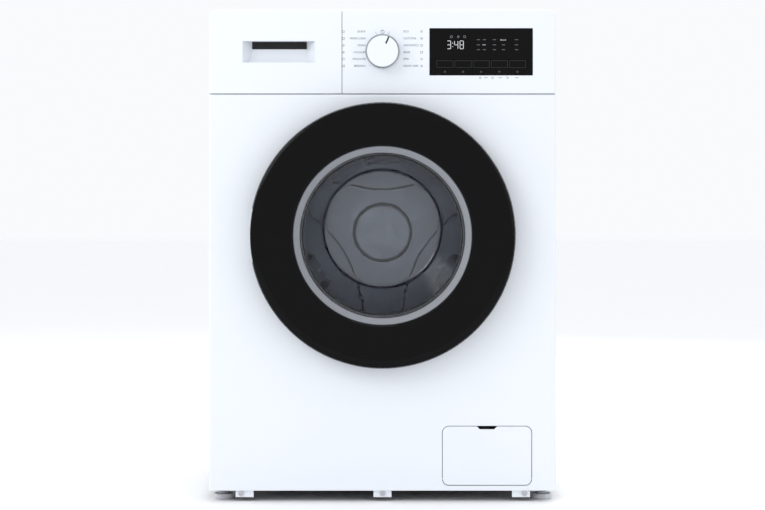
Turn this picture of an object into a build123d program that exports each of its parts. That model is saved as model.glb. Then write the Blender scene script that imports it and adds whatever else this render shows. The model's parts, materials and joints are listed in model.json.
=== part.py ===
"""Front load washing machine, 600 mm wide, modelled as the assembly it is taken apart into.

Millimetres. X runs to the right of someone facing the door, Y runs from the door to the wall, Z is up.
The origin is the middle of the footprint on the floor. "Depth" is a distance behind the front face.
"""
from build123d import *
import math
import os

os.makedirs("parts", exist_ok=True)

# Overall sizes
WIDTH = 600.0
HEIGHT = 850.0
CABINET_DEPTH = 550.0
DOOR_PROUD = 40.0  # how far the door stands in front of the front face
SPOUT_PROUD = 20.0  # how far the inlet spout stands behind the rear panel
BODY_FLOOR = 19.0  # underside of the cabinet above the floor
BAND_FLOOR = HEIGHT - 146.0  # the seam under the control band

# Skins and joints between them
SHEET = 1.5
MOULDING = 2.5
SEAM = 1.0
SKIN_DEPTH = 24.5  # how far the front skins wrap round the sides
EDGE_RADIUS = 4.0
CORNER_RADIUS = 12.0
FLANGE = 15.0
TOP_THICK = 12.0

# Clearances
BODY_GAP = 0.3  # between pieces that move past each other, or that are bolted together
SEAT_GAP = 0.5  # where the cabinet's panels meet
SLIDE_FIT = 0.1  # round a shaft, a seal, or a hose's spigot
BEARING_FIT = 0.05
WINDOW_PLAY = 0.2

# The drum axis and everything that turns on it
AXIS_Z = 460.0
PORTHOLE_R = 165.0
PORTHOLE_LIP = 14.0
DRUM_R = 236.0
DRUM_SHEET = 1.2
DRUM_FRONT = 116.0
DRUM_BACK = 448.0
DRUM_MOUTH_R = 160.0
TUB_GAP = 11.0  # between drum and tub wall
TUB_WALL = 4.0
TUB_FRONT = 105.0
TUB_SPLIT = 288.0
TUB_REAR = 471.0
TUB_MOUTH_R = 168.0
COLLAR_LENGTH = 21.0
SHAFT_END = 541.0
PULLEY_R = 150.0
PULLEY_DEPTH = 521.0
PULLEY_WIDTH = 16.0
MOTOR_PULLEY_R = 11.0
MOTOR_X = -30.0
MOTOR_Z = 140.0
MOTOR_R = 56.0

# Door
DOOR_R = 229.0
WINDOW_R = 154.0
GLASS_R = 141.0
GLASS_WALL = 5.0
GLASS_DEEP = 98.0
GLASS_DEEP_R = 107.0
GLASS_LIFT = 12.0  # the bottom of the bowl slopes more than its top
HINGE_X = -(DOOR_R - 13.0)
HINGE_DEPTH = -20.0
HINGE_PIN_R = 3.0
HINGE_PIN_PLAY = 0.08
KNUCKLE_R = 6.0
KNUCKLE_HALF = 29.5
EAR_THICK = 8.0
HOOK_X = DOOR_R - 33.0

# Control band
CONTROL_Z = HEIGHT - 73.0
DRAWER_EDGE_X = -70.0  # the seam between drawer and control panel
KNOB_R = 29.2
KNOB_PROUD = 18.0
KNOB_MARK_ANGLE = 24.0
WINDOW_X = 170.4
WINDOW_W = 178.7
WINDOW_H = 81.7
KEY_COUNT = 5
KEY_W = 30.0
KEY_H = 14.0
KEY_PITCH = 31.3
KEY_Z = CONTROL_Z - 21.5
KEY_PLAY = 0.4
KEY_TRAVEL = 1.2

# Detergent drawer
TRAY_X0 = -268.0
TRAY_X1 = -82.0
TRAY_Z0 = CONTROL_Z - 42.0
TRAY_Z1 = CONTROL_Z + 28.0
TRAY_DEPTH = 275.0
TRAY_PLAY = 1.5
GRIP_X = -179.0
GRIP_W = 126.0
GRIP_H = 37.0
GRIP_DEPTH = 22.0

# Service door and pump
SERVICE_X = 180.6
SERVICE_Z = 79.2
SERVICE_W = 153.7
SERVICE_H = 101.4
SERVICE_RADIUS = 11.0
SERVICE_GAP = 1.0
SERVICE_PIN_DEPTH = 4.0
PUMP_R = 34.0
PUMP_FRONT = 40.0
PUMP_LENGTH = 88.0
PUMP_BORE_R = PUMP_R - 6.0

# Base, feet and suspension
BASE_DEPTH_START = 6.0
BASE_HEIGHT = 56.0
BASE_WALL = 3.0
FOOT_X = WIDTH / 2 - 22.0
FOOT_INSET = 45.0
FOOT_R = 17.5
FOOT_THICK = 12.0
FOOT_THREAD_R = 5.0
THREAD_PLAY = 0.3
NUT_ACROSS = 24.0
SPRING_X = WIDTH / 2 - 25.0
SPRING_DEPTH = 350.0
SPRING_R = 11.0
SPRING_WIRE_R = 1.8
SPRING_TURNS = 16
DAMPER_DEPTH = 320.0
DAMPER_FOOT_X = 205.0
DAMPER_FOOT_Z = 62.0
DAMPER_HEAD_X = 150.0
DAMPER_HEAD_Z = 228.0
DAMPER_R = 14.0
DAMPER_ROD_R = 8.0
DAMPER_PLAY = 0.6
PIN_R = 4.0
PIN_PLAY = 0.1

# Rear panel fittings
COVER_W = 380.0
COVER_H = 560.0
COVER_Z = 375.0
COVER_RADIUS = 120.0
COVER_LAP = 14.0
COVER_DOME = 8.0
SPOUT_X = -200.0
SPOUT_Z = HEIGHT - 70.0
SPOUT_R = 13.2
OUTLET_X = WIDTH / 2 - 32.0
OUTLET_Z = HEIGHT - 130.0
OUTLET_R = 11.0
SHOULDER_RISE = 3.0  # a shoulder that carries each spout through the panel
SHOULDER_PROUD = 2.0
GLAND_X = 230.0
GLAND_Z = 120.0
GLAND_BORE_R = 4.5
TRANSIT_SPOTS = [(-232, 330), (232, 330), (-232, 590), (232, 590)]
TRANSIT_R = 12.0

# Places worked out from the sizes above
Y_FRONT = -(DOOR_PROUD + CABINET_DEPTH + SPOUT_PROUD) / 2 + DOOR_PROUD
HALF = WIDTH / 2
DRUM_AXIS = Axis((0, Y_FRONT, AXIS_Z), (0, 1, 0))
TUB_R = DRUM_R + TUB_GAP + TUB_WALL
TOP_FLOOR = HEIGHT - TOP_THICK
PANEL_BACK = CABINET_DEPTH - SHEET
SIDE_TOP = TOP_FLOOR - SEAT_GAP
SIDE_START = SKIN_DEPTH + SEAT_GAP


def front_plane(depth, x=0.0, z=0.0):
    """A sketch plane facing the user: local x is X and local y is Z. A negative extrude goes deeper."""
    return Plane(origin=(x, Y_FRONT + depth, z), x_dir=(1, 0, 0), z_dir=(0, -1, 0))


def axial_plane(x=0.0, z=AXIS_Z):
    """A sketch plane for turned pieces: local x is the radius and local y is the depth."""
    return Plane(origin=(x, Y_FRONT, z), x_dir=(1, 0, 0), z_dir=(0, 0, 1))


def closed_outline(*points):
    """A closed face from points, inside the sketch being drawn."""
    with BuildLine() as outline:
        Polyline(*points, close=True)
    make_face(outline.edges())


def block(x0, x1, depth0, depth1, z0, z1, mode=Mode.ADD):
    """A box between two x, two depth and two z values, in the part being built."""
    with Locations(((x0 + x1) / 2, Y_FRONT + (depth0 + depth1) / 2, (z0 + z1) / 2)):
        Box(x1 - x0, depth1 - depth0, z1 - z0, mode=mode)


def rod(x, z, radius, depth0, depth1, mode=Mode.ADD):
    """A round bar along the depth."""
    with BuildSketch(front_plane(depth0, x, z)) as end:
        Circle(radius)
    extrude(end.sketch, amount=-(depth1 - depth0), mode=mode)


def post(x, depth, radius, z0, z1, mode=Mode.ADD):
    """A round bar standing upright."""
    with BuildSketch(Plane(origin=(x, Y_FRONT + depth, z0))) as end:
        Circle(radius)
    extrude(end.sketch, amount=z1 - z0, mode=mode)


def save(builder, name):
    builder.part.label = name
    export_step(builder.part, f"parts/{name}.step")


# ---------------------------------------------------------------- front skins

def at_seam(edge, box, inset, side):
    """True when an edge of a skin's face lies along the named side of its box."""
    x0, x1, z0, z1 = box
    centre = edge.center()
    distances = {
        "left": centre.X - x0 - inset,
        "right": x1 - inset - centre.X,
        "floor": centre.Z - z0 - inset,
    }
    return abs(distances[side]) < 0.01


def skin_slab(box, inset, rounded, seams):
    """A rounded slab, inset all round, whose front edges are broken except along the seams."""
    x0, x1, z0, z1 = box
    with BuildPart() as slab:
        with BuildSketch(front_plane(inset, (x0 + x1) / 2, (z0 + z1) / 2)):
            outline = Rectangle(x1 - x0 - 2 * inset, z1 - z0 - 2 * inset)
            top = outline.vertices().group_by(Axis.Y)[-1].sort_by(Axis.X)
            for side, corner in (("left", top[0]), ("right", top[-1])):
                if side in rounded:
                    fillet(corner, CORNER_RADIUS - inset)
        extrude(amount=-SKIN_DEPTH)
        face = slab.faces().sort_by(Axis.Y)[0]
        broken = [edge for edge in face.edges() if not any(at_seam(edge, box, inset,
                                                                   side) for side in seams)]
        fillet(broken, EDGE_RADIUS - inset)
    return slab.part


def hollow_skin(x0, x1, z0, z1, wall, rounded, seams):
    """A front skin: a thin tray that opens to the rear."""
    box = (x0, x1, z0, z1)
    with BuildPart() as skin:
        add(skin_slab(box, 0, rounded, seams))
        block(x0 - 1, x1 + 1, SKIN_DEPTH, SKIN_DEPTH + wall + 1, z0 - 1, z1 + 1, Mode.SUBTRACT)
        add(skin_slab(box, wall, rounded, seams), mode=Mode.SUBTRACT)
    return skin.part


TAB_W = 31.0
TAB_DROP = 11.8
TAB_SPOTS = (-238.5, 0.0, 239.5)
TAB_DEPTH = 4.0
TAB_SCREW_SPOTS = (-244.5, 0.0, 245.5)
TAB_SCREW_Z = BODY_FLOOR - 5.0
SLOT_X = HOOK_X - 1.0
SLOT_W = 24.0
SLOT_H = 44.0
SCREW_R = 2.0
SCREW_HOLE_R = 2.3

front_skin = hollow_skin(-HALF, HALF, BODY_FLOOR, BAND_FLOOR, SHEET, (), ("floor",))

with BuildPart() as front_panel:
    add(front_skin)
    # the floor of the tray stops short, so that the base can come forward under the panel
    block(-HALF + FLANGE, HALF - FLANGE, TAB_DEPTH + SHEET, SKIN_DEPTH, BODY_FLOOR, BODY_FLOOR + SHEET,
          Mode.SUBTRACT)
    rod(0, AXIS_Z, PORTHOLE_R, 0, PORTHOLE_LIP)
    rod(0, AXIS_Z, PORTHOLE_R - SHEET, 0, PORTHOLE_LIP, Mode.SUBTRACT)
    with BuildSketch(front_plane(0, SERVICE_X, SERVICE_Z)):
        RectangleRounded(SERVICE_W + 2 * SERVICE_GAP, SERVICE_H + 2 * SERVICE_GAP,
                         SERVICE_RADIUS + SERVICE_GAP)
    extrude(amount=-SHEET, mode=Mode.SUBTRACT)
    block(SLOT_X - SLOT_W / 2, SLOT_X + SLOT_W / 2, 0, SHEET, AXIS_Z - SLOT_H / 2, AXIS_Z + SLOT_H / 2,
          Mode.SUBTRACT)
    for x in TAB_SPOTS:
        block(x - TAB_W / 2, x + TAB_W / 2, TAB_DEPTH, TAB_DEPTH + SHEET, BODY_FLOOR - TAB_DROP,
              BODY_FLOOR + SHEET)
    for x in TAB_SCREW_SPOTS:
        rod(x, TAB_SCREW_Z, SCREW_HOLE_R, TAB_DEPTH, TAB_DEPTH + SHEET, Mode.SUBTRACT)
save(front_panel, "front_panel")

KNOB_HOLE_R = 8.0
PANEL_X0 = DRAWER_EDGE_X + SEAM / 2
BAND_Z0 = BAND_FLOOR + SEAM

control_skin = hollow_skin(PANEL_X0, HALF, BAND_Z0, HEIGHT, MOULDING, ("right",), ("left", "floor"))

with BuildPart() as control_panel:
    add(control_skin)
    with BuildSketch(front_plane(0, WINDOW_X, CONTROL_Z)):
        Rectangle(WINDOW_W, WINDOW_H)
    extrude(amount=-MOULDING, mode=Mode.SUBTRACT)
    rod(0, CONTROL_Z, KNOB_HOLE_R, 0, MOULDING, Mode.SUBTRACT)
save(control_panel, "control_panel")

# ---------------------------------------------------------------- display, keys and knob

KEY_SPOTS = [WINDOW_X + (i - (KEY_COUNT - 1) / 2) * KEY_PITCH for i in range(KEY_COUNT)]
GLASS_PROUD = 0.4
WINDOW_PLATE = 3.0
WINDOW_CORNER_R = 2.4
KEY_PROUD = 0.8
KEY_DEPTH = 6.0
KEY_STEM_R = 3.0
KEY_STEM_END = 9.0

with BuildPart() as display_window:
    with BuildSketch(front_plane(-GLASS_PROUD, WINDOW_X, CONTROL_Z)):
        RectangleRounded(WINDOW_W - 2 * WINDOW_PLAY, WINDOW_H - 2 * WINDOW_PLAY, WINDOW_CORNER_R)
        with Locations([(x - WINDOW_X, KEY_Z - CONTROL_Z) for x in KEY_SPOTS]):
            Rectangle(KEY_W + 2 * KEY_PLAY, KEY_H + 2 * KEY_PLAY, mode=Mode.SUBTRACT)
    extrude(amount=-WINDOW_PLATE)
save(display_window, "display_window")

for number, x in enumerate(KEY_SPOTS, start=1):
    with BuildPart() as key:
        block(x - KEY_W / 2, x + KEY_W / 2, -KEY_PROUD, KEY_DEPTH, KEY_Z - KEY_H / 2, KEY_Z + KEY_H / 2)
        fillet(key.faces().sort_by(Axis.Y)[0].edges(), 0.6)
        rod(x, KEY_Z, KEY_STEM_R, KEY_DEPTH, KEY_STEM_END)
    save(key, f"key_{number}")

KNOB_STANDOFF = 1.5
KNOB_WALL = 2.5
KNOB_BOSS_R = 6.5
KNOB_SHAFT_R = 3.0
KNOB_SHAFT_END = 26.0
MARK_LENGTH = 13.0
MARK_WIDTH = 2.8
MARK_SINK = 0.5

with BuildPart() as program_knob:
    with BuildSketch(axial_plane(0, CONTROL_Z)):
        closed_outline(
            (0, -KNOB_PROUD), (KNOB_R - 0.6, -KNOB_PROUD), (KNOB_R, -KNOB_STANDOFF),
            (KNOB_R - KNOB_WALL, -KNOB_STANDOFF), (KNOB_R - KNOB_WALL, -KNOB_PROUD + KNOB_WALL),
            (KNOB_BOSS_R, -KNOB_PROUD + KNOB_WALL), (KNOB_BOSS_R, MOULDING), (KNOB_SHAFT_R, MOULDING),
            (KNOB_SHAFT_R, KNOB_SHAFT_END), (0, KNOB_SHAFT_END),
        )
    revolve(axis=Axis((0, Y_FRONT, CONTROL_Z), (0, 1, 0)))
    fillet(program_knob.faces().sort_by(Axis.Y)[0].edges(), 1.2)
    mark_radius = KNOB_R - 2.0 - MARK_LENGTH / 2
    with BuildSketch(front_plane(-KNOB_PROUD, 0, CONTROL_Z)):
        with Locations(Location((0, 0, 0), (0, 0, -KNOB_MARK_ANGLE))):
            with Locations((0, mark_radius)):
                Rectangle(MARK_WIDTH, MARK_LENGTH)
    extrude(amount=-MARK_SINK, mode=Mode.SUBTRACT)
save(program_knob, "program_knob")

BOARD_DEPTH = 30.0
BOARD_THICK = 1.6
SWITCH_FRONT = KEY_STEM_END + KEY_TRAVEL + 0.4
ENCODER_FRONT = 12.0

BOARD_START_X = -45.0
BOARD_END_X = 270.0
BOARD_BACK = BOARD_DEPTH + BOARD_THICK
SCREEN_HALF = 80.0
SCREEN_DEPTH = 4.0
ENCODER_HALF = 14.0
SWITCH_HALF = 4.0
PLUG_SPOTS = (-20, 60, 120, 180, 240)
PLUG_HALF = 7.0
PLUG_DEEP = 9.0

with BuildPart() as control_board:
    block(BOARD_START_X, BOARD_END_X, BOARD_DEPTH, BOARD_BACK, CONTROL_Z - 42, CONTROL_Z + 48)
    block(WINDOW_X - SCREEN_HALF, WINDOW_X + SCREEN_HALF, SCREEN_DEPTH, BOARD_DEPTH, CONTROL_Z - 5,
          CONTROL_Z + 38)
    block(-ENCODER_HALF, ENCODER_HALF, ENCODER_FRONT, BOARD_DEPTH, CONTROL_Z - ENCODER_HALF,
          CONTROL_Z + ENCODER_HALF)
    for x in KEY_SPOTS:
        block(x - SWITCH_HALF, x + SWITCH_HALF, SWITCH_FRONT, BOARD_DEPTH, KEY_Z - SWITCH_HALF,
              KEY_Z + SWITCH_HALF)
    # plugs for the wiring, along the board's foot
    for x in PLUG_SPOTS:
        block(x - PLUG_HALF, x + PLUG_HALF, BOARD_BACK, BOARD_BACK + PLUG_DEEP, CONTROL_Z - 36,
              CONTROL_Z - 20)
    rod(0, CONTROL_Z, KNOB_SHAFT_R + SLIDE_FIT, ENCODER_FRONT, BOARD_BACK, Mode.SUBTRACT)
save(control_board, "control_board")

# ---------------------------------------------------------------- detergent drawer

DRAWER_X1 = DRAWER_EDGE_X - SEAM / 2
GRIP_Z0 = CONTROL_Z - GRIP_H / 2
GRIP_Z1 = CONTROL_Z + GRIP_H / 2
GRIP_LEDGE = 13.0
GRIP_SLOT = 5.0
GRIP_LIP = 3.5
GRIP_POCKET_TOP = GRIP_Z1 + 16.0
GRIP_DRAFT = 15.0  # how far the ends of the grip lean in over its depth

with BuildPart() as grip_cavity:
    with BuildSketch(Plane(origin=(GRIP_X - GRIP_W / 2, Y_FRONT, 0), x_dir=(0, 1, 0), z_dir=(1, 0, 0))):
        with BuildLine():
            floor = Line((-1, GRIP_Z0), (GRIP_LEDGE, GRIP_Z0))
            scoop = ThreePointArc(floor @ 1, (GRIP_DEPTH - 2.0, GRIP_Z0 + 13.0),
                                  (GRIP_DEPTH, GRIP_Z1 - GRIP_SLOT))
            Polyline(scoop @ 1, (GRIP_DEPTH, GRIP_POCKET_TOP), (GRIP_LIP, GRIP_POCKET_TOP),
                     (GRIP_LIP, GRIP_Z1), (-1, GRIP_Z1), floor @ 0)
        make_face()
    extrude(amount=GRIP_W)
    with BuildSketch(Plane(origin=(GRIP_X, Y_FRONT, GRIP_Z0 - 1))):
        closed_outline((-GRIP_W / 2, -1), (GRIP_W / 2, -1), (GRIP_W / 2, 0),
                       (GRIP_W / 2 - GRIP_DRAFT, GRIP_DEPTH), (-GRIP_W / 2 + GRIP_DRAFT, GRIP_DEPTH),
                       (-GRIP_W / 2, 0))
    extrude(amount=GRIP_POCKET_TOP - GRIP_Z0 + 2, mode=Mode.INTERSECT)

drawer_skin = hollow_skin(-HALF, DRAWER_X1, BAND_Z0, HEIGHT, MOULDING, ("left",), ("right", "floor"))

with BuildPart() as drawer_front:
    add(drawer_skin)
    block(GRIP_X - GRIP_W / 2 - 3, GRIP_X + GRIP_W / 2 + 3, 1, SKIN_DEPTH, GRIP_Z0 - 3,
          GRIP_POCKET_TOP + 2.5)
    add(grip_cavity.part, mode=Mode.SUBTRACT)
save(drawer_front, "drawer_front")

TRAY_FRONT = SKIN_DEPTH
TRAY_WALL = 2.0
TRAY_DIVIDERS = (TRAY_X0 + 62.0, TRAY_X0 + 124.0)
SIPHON_LENGTH = 92.0
SIPHON_START = TRAY_FRONT + 120.0

with BuildPart() as drawer_tray:
    block(TRAY_X0, TRAY_X1, TRAY_FRONT, TRAY_FRONT + TRAY_DEPTH, TRAY_Z0, TRAY_Z1)
    edges = (TRAY_X0, *TRAY_DIVIDERS, TRAY_X1)
    for left, right in zip(edges, edges[1:]):
        block(left + TRAY_WALL, right - TRAY_WALL, TRAY_FRONT + TRAY_WALL,
              TRAY_FRONT + TRAY_DEPTH - TRAY_WALL,
              TRAY_Z0 + TRAY_WALL, TRAY_Z1, Mode.SUBTRACT)
    # cap and siphon tube over the softener compartment
    left, right = TRAY_DIVIDERS
    block(left, right, SIPHON_START, SIPHON_START + SIPHON_LENGTH, TRAY_Z1 - 18, TRAY_Z1 - 15)
    siphon_x = (left + right) / 2
    siphon_depth = SIPHON_START + SIPHON_LENGTH - 20
    post(siphon_x, siphon_depth, 8, TRAY_Z0, TRAY_Z1 - 15)
    post(siphon_x, siphon_depth, 6, TRAY_Z0 + TRAY_WALL, TRAY_Z1 - 18, Mode.SUBTRACT)
    block(siphon_x - 10, siphon_x + 10, SIPHON_START + 6, SIPHON_START + 9, TRAY_Z1 - 15, TRAY_Z1 - 4)
save(drawer_tray, "drawer_tray")

HOUSING_START = 26.5
HOUSING_END = TRAY_FRONT + TRAY_DEPTH + 30.0
HOUSING_X0 = TRAY_X0 - TRAY_PLAY - MOULDING
HOUSING_X1 = TRAY_X1 + TRAY_PLAY + MOULDING
HOUSING_Z0 = TRAY_Z0 - 3.5 - MOULDING
HOUSING_Z1 = TOP_FLOOR - 6.0
FILL_X = -110.0
FILL_DEPTH = 310.0
SPIGOT_R = 13.0
BORE_R = 10.5
SPIGOT_LENGTH = 15.0
HOSE_JOINT_Z = CONTROL_Z + 23.0
HOSE_SPIGOT_R = 5.5

with BuildPart() as dispenser_housing:
    block(HOUSING_X0, HOUSING_X1, HOUSING_START, HOUSING_END, HOUSING_Z0, HOUSING_Z1)
    block(HOUSING_X0 + MOULDING, HOUSING_X1 - MOULDING, HOUSING_START, HOUSING_END - MOULDING,
          HOUSING_Z0 + MOULDING, HOUSING_Z1 - MOULDING, Mode.SUBTRACT)
    post(FILL_X, FILL_DEPTH, SPIGOT_R, HOUSING_Z0 - SPIGOT_LENGTH, HOUSING_Z0 + MOULDING)
    post(FILL_X, FILL_DEPTH, BORE_R, HOUSING_Z0 - SPIGOT_LENGTH, HOUSING_Z0 + MOULDING, Mode.SUBTRACT)
    rod(SPOUT_X, HOSE_JOINT_Z, HOSE_SPIGOT_R, HOUSING_END - MOULDING, HOUSING_END + 12)
    rod(SPOUT_X, HOSE_JOINT_Z, HOSE_SPIGOT_R - 1.5, HOUSING_END - MOULDING, HOUSING_END + 12, Mode.SUBTRACT)
save(dispenser_housing, "dispenser_housing")

# ---------------------------------------------------------------- cabinet

SIDE_END = PANEL_BACK - SEAT_GAP

for name, side in (("side_panel_left", -1), ("side_panel_right", 1)):
    with BuildPart() as side_panel:
        with BuildSketch(Plane.XY.offset(BODY_FLOOR)):
            closed_outline(*[
                (side * x, Y_FRONT + depth)
                for x, depth in (
                    (HALF, SIDE_START), (HALF, SIDE_END), (HALF - FLANGE, SIDE_END),
                    (HALF - FLANGE, SIDE_END - SHEET), (HALF - SHEET, SIDE_END - SHEET),
                    (HALF - SHEET, SIDE_START + SHEET), (HALF - FLANGE, SIDE_START + SHEET),
                    (HALF - FLANGE, SIDE_START),
                )
            ])
        extrude(amount=SIDE_TOP - BODY_FLOOR)
        x0, x1 = sorted((side * (HALF - FLANGE), side * HALF))
        block(x0, x1, SIDE_START, SIDE_END, SIDE_TOP - SHEET, SIDE_TOP)
    save(side_panel, name)

RAIL_W = 22.0
RAIL_H = 24.0
RAIL_TOP = SIDE_TOP - SHEET - BODY_GAP
RAIL_OUT = HALF - SHEET - BODY_GAP
RAIL_START = SIDE_START + SHEET + 1.0
RAIL_END = SIDE_END - SHEET - 1.0
RAIL_SLOT_R = 3.0

with BuildPart() as top_rails:
    for side in (-1, 1):
        with BuildSketch(front_plane(RAIL_START)):
            closed_outline(*[
                (side * x, z)
                for x, z in (
                    (RAIL_OUT, RAIL_TOP), (RAIL_OUT - RAIL_W, RAIL_TOP), (RAIL_OUT - RAIL_W, RAIL_TOP - 2),
                    (RAIL_OUT - 2, RAIL_TOP - 2), (RAIL_OUT - 2, RAIL_TOP - RAIL_H + 2),
                    (RAIL_OUT - RAIL_W, RAIL_TOP - RAIL_H + 2), (RAIL_OUT - RAIL_W, RAIL_TOP - RAIL_H),
                    (RAIL_OUT, RAIL_TOP - RAIL_H),
                )
            ])
        extrude(amount=-(RAIL_END - RAIL_START))
        x0, x1 = sorted((side * (RAIL_OUT - RAIL_W), side * (RAIL_OUT - 2)))
        block(x0, x1, SPRING_DEPTH - 8, SPRING_DEPTH + 8, RAIL_TOP - RAIL_H + 2, RAIL_TOP - RAIL_H + 4)
        post(side * SPRING_X, SPRING_DEPTH, RAIL_SLOT_R, RAIL_TOP - RAIL_H, RAIL_TOP - RAIL_H + 4,
             Mode.SUBTRACT)
save(top_rails, "top_rails")

with BuildPart() as top_cover:
    with BuildSketch(front_plane(SIDE_START, 0, HEIGHT - TOP_THICK / 2)):
        slab = Rectangle(WIDTH, TOP_THICK)
        fillet(slab.vertices().group_by(Axis.Y)[-1], CORNER_RADIUS - 0.5)
    extrude(amount=-(CABINET_DEPTH - SIDE_START))
    fillet(top_cover.edges().filter_by(Axis.X).group_by(Axis.Y)[-1].group_by(Axis.Z)[-1], EDGE_RADIUS)
save(top_cover, "top_cover")

LOUVRE_COUNT = 7
LOUVRE_PITCH = 9.0
LOUVRE_X = -230.0
LOUVRE_Z = 120.0
COVER_SCREW_ROWS = (COVER_Z - COVER_H / 2 + 90, COVER_Z, COVER_Z + COVER_H / 2 - 90)
COVER_SCREW_X = COVER_W / 2 - 7.0
COVER_SCREWS = [(side * COVER_SCREW_X, z) for side in (-1, 1) for z in COVER_SCREW_ROWS]
COVER_SCREWS += [(0, COVER_Z + side * (COVER_H / 2 - 7.0)) for side in (-1, 1)]
HOLE_PLAY = 0.5
GLAND_R = 9.0

with BuildPart() as rear_panel:
    block(-HALF + 1, HALF - 1, PANEL_BACK, CABINET_DEPTH, BODY_FLOOR, SIDE_TOP)
    with BuildSketch(front_plane(PANEL_BACK, 0, COVER_Z)):
        RectangleRounded(COVER_W - 2 * COVER_LAP, COVER_H - 2 * COVER_LAP, COVER_RADIUS - COVER_LAP)
    extrude(amount=-SHEET, mode=Mode.SUBTRACT)
    for x, z in COVER_SCREWS:
        rod(x, z, SCREW_HOLE_R, PANEL_BACK, CABINET_DEPTH, Mode.SUBTRACT)
    for x, z in TRANSIT_SPOTS:
        rod(x, z, TRANSIT_R + HOLE_PLAY, PANEL_BACK, CABINET_DEPTH, Mode.SUBTRACT)
    rod(SPOUT_X, SPOUT_Z, SPOUT_R + SHOULDER_RISE + HOLE_PLAY, PANEL_BACK, CABINET_DEPTH, Mode.SUBTRACT)
    rod(OUTLET_X, OUTLET_Z, OUTLET_R + SHOULDER_RISE + HOLE_PLAY, PANEL_BACK, CABINET_DEPTH, Mode.SUBTRACT)
    rod(GLAND_X, GLAND_Z, GLAND_R + HOLE_PLAY, PANEL_BACK, CABINET_DEPTH, Mode.SUBTRACT)
    with BuildSketch(front_plane(PANEL_BACK, LOUVRE_X, LOUVRE_Z)):
        with GridLocations(0, LOUVRE_PITCH, 1, LOUVRE_COUNT):
            SlotOverall(60, 3.5)
    extrude(amount=-SHEET, mode=Mode.SUBTRACT)
save(rear_panel, "rear_panel")


def cover_slab(width, height, radius, depth0, depth1, mode=Mode.ADD):
    with BuildSketch(front_plane(depth0, 0, COVER_Z)) as outline:
        RectangleRounded(width, height, radius)
    extrude(outline.sketch, amount=-(depth1 - depth0), mode=mode)


with BuildPart() as rear_service_cover:
    inner_w, inner_h = COVER_W - 4 * COVER_LAP, COVER_H - 4 * COVER_LAP
    inner_r = COVER_RADIUS - 2 * COVER_LAP
    cover_slab(COVER_W, COVER_H, COVER_RADIUS, CABINET_DEPTH, CABINET_DEPTH + SHEET)
    cover_slab(inner_w, inner_h, inner_r, CABINET_DEPTH, CABINET_DEPTH + COVER_DOME)
    fillet(rear_service_cover.faces().sort_by(Axis.Y)[-1].edges(), EDGE_RADIUS)
    cover_slab(inner_w - 2 * SHEET, inner_h - 2 * SHEET, inner_r - SHEET, CABINET_DEPTH,
               CABINET_DEPTH + COVER_DOME - SHEET, Mode.SUBTRACT)
    for x, z in COVER_SCREWS:
        rod(x, z, SCREW_HOLE_R, CABINET_DEPTH, CABINET_DEPTH + SHEET, Mode.SUBTRACT)
save(rear_service_cover, "rear_service_cover")

with BuildPart() as rear_plugs:
    for x, z in TRANSIT_SPOTS:
        rod(x, z, TRANSIT_R, PANEL_BACK - 6, CABINET_DEPTH)
        rod(x, z, TRANSIT_R - 2, PANEL_BACK - 6, CABINET_DEPTH - 1.5, Mode.SUBTRACT)
        rod(x, z, TRANSIT_R + 4, CABINET_DEPTH, CABINET_DEPTH + 2.5)
    rod(GLAND_X, GLAND_Z, GLAND_R, PANEL_BACK - 8, CABINET_DEPTH)
    rod(GLAND_X, GLAND_Z, GLAND_R + 4, CABINET_DEPTH, CABINET_DEPTH + 5)
    rod(GLAND_X, GLAND_Z, GLAND_BORE_R, PANEL_BACK - 8, CABINET_DEPTH + 5, Mode.SUBTRACT)
save(rear_plugs, "rear_plugs")

HEAD_R = 4.8
HEAD_THICK = 2.4
COVER_SCREW_LENGTH = 9.0


def screw(x, z, depth, length, outward):
    """A pan head screw along the depth.

    Outward is -1 when its head faces the front and 1 when it faces the rear.
    """
    head0, head1 = sorted((depth, depth + outward * HEAD_THICK))
    rod(x, z, HEAD_R, head0, head1)
    shank0, shank1 = sorted((depth, depth - outward * length))
    rod(x, z, SCREW_R, shank0, shank1)
    rod(x, z, 1.6, *sorted((depth + outward * HEAD_THICK, depth + outward * (HEAD_THICK - 1.2))),
        Mode.SUBTRACT)


with BuildPart() as case_screws:
    for x in TAB_SCREW_SPOTS:
        screw(x, TAB_SCREW_Z, TAB_DEPTH, 7.0, -1)
    for x, z in COVER_SCREWS:
        screw(x, z, CABINET_DEPTH + SHEET, COVER_SCREW_LENGTH, 1)
save(case_screws, "case_screws")

# ---------------------------------------------------------------- base and feet

BASE_X = HALF - 6.0
NARROW_X = HALF - FLANGE - 3.0
BASE_WALL_START = 30.0
BASE_END = SIDE_END - SHEET - 2.0
BASE_TOP = BODY_FLOOR + BASE_HEIGHT
BOSS_R = 14.0
FOOT_SPOTS = {
    "foot_front_left": (-FOOT_X, FOOT_INSET),
    "foot_front_right": (FOOT_X, FOOT_INSET),
    "foot_rear_left": (-FOOT_X, CABINET_DEPTH - FOOT_INSET),
    "foot_rear_right": (FOOT_X, CABINET_DEPTH - FOOT_INSET),
}
LUG_GAP = 17.0
LUG_THICK = 5.0
SERVICE_FLOOR = SERVICE_Z - SERVICE_H / 2
# level with the centres of the door's lower corners, so that it tilts clear of the panel's own corners
SERVICE_PIN_Z = SERVICE_FLOOR + SERVICE_RADIUS
PIN_STUB_R = 1.2
SERVICE_EAR = SERVICE_W / 2 + SERVICE_GAP + 0.2
SERVICE_EAR_THICK = 4.0
SERVICE_EAR_HALF = 4.0
SERVICE_PIN_REACH = SERVICE_EAR + SERVICE_EAR_THICK - 1.0

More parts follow.
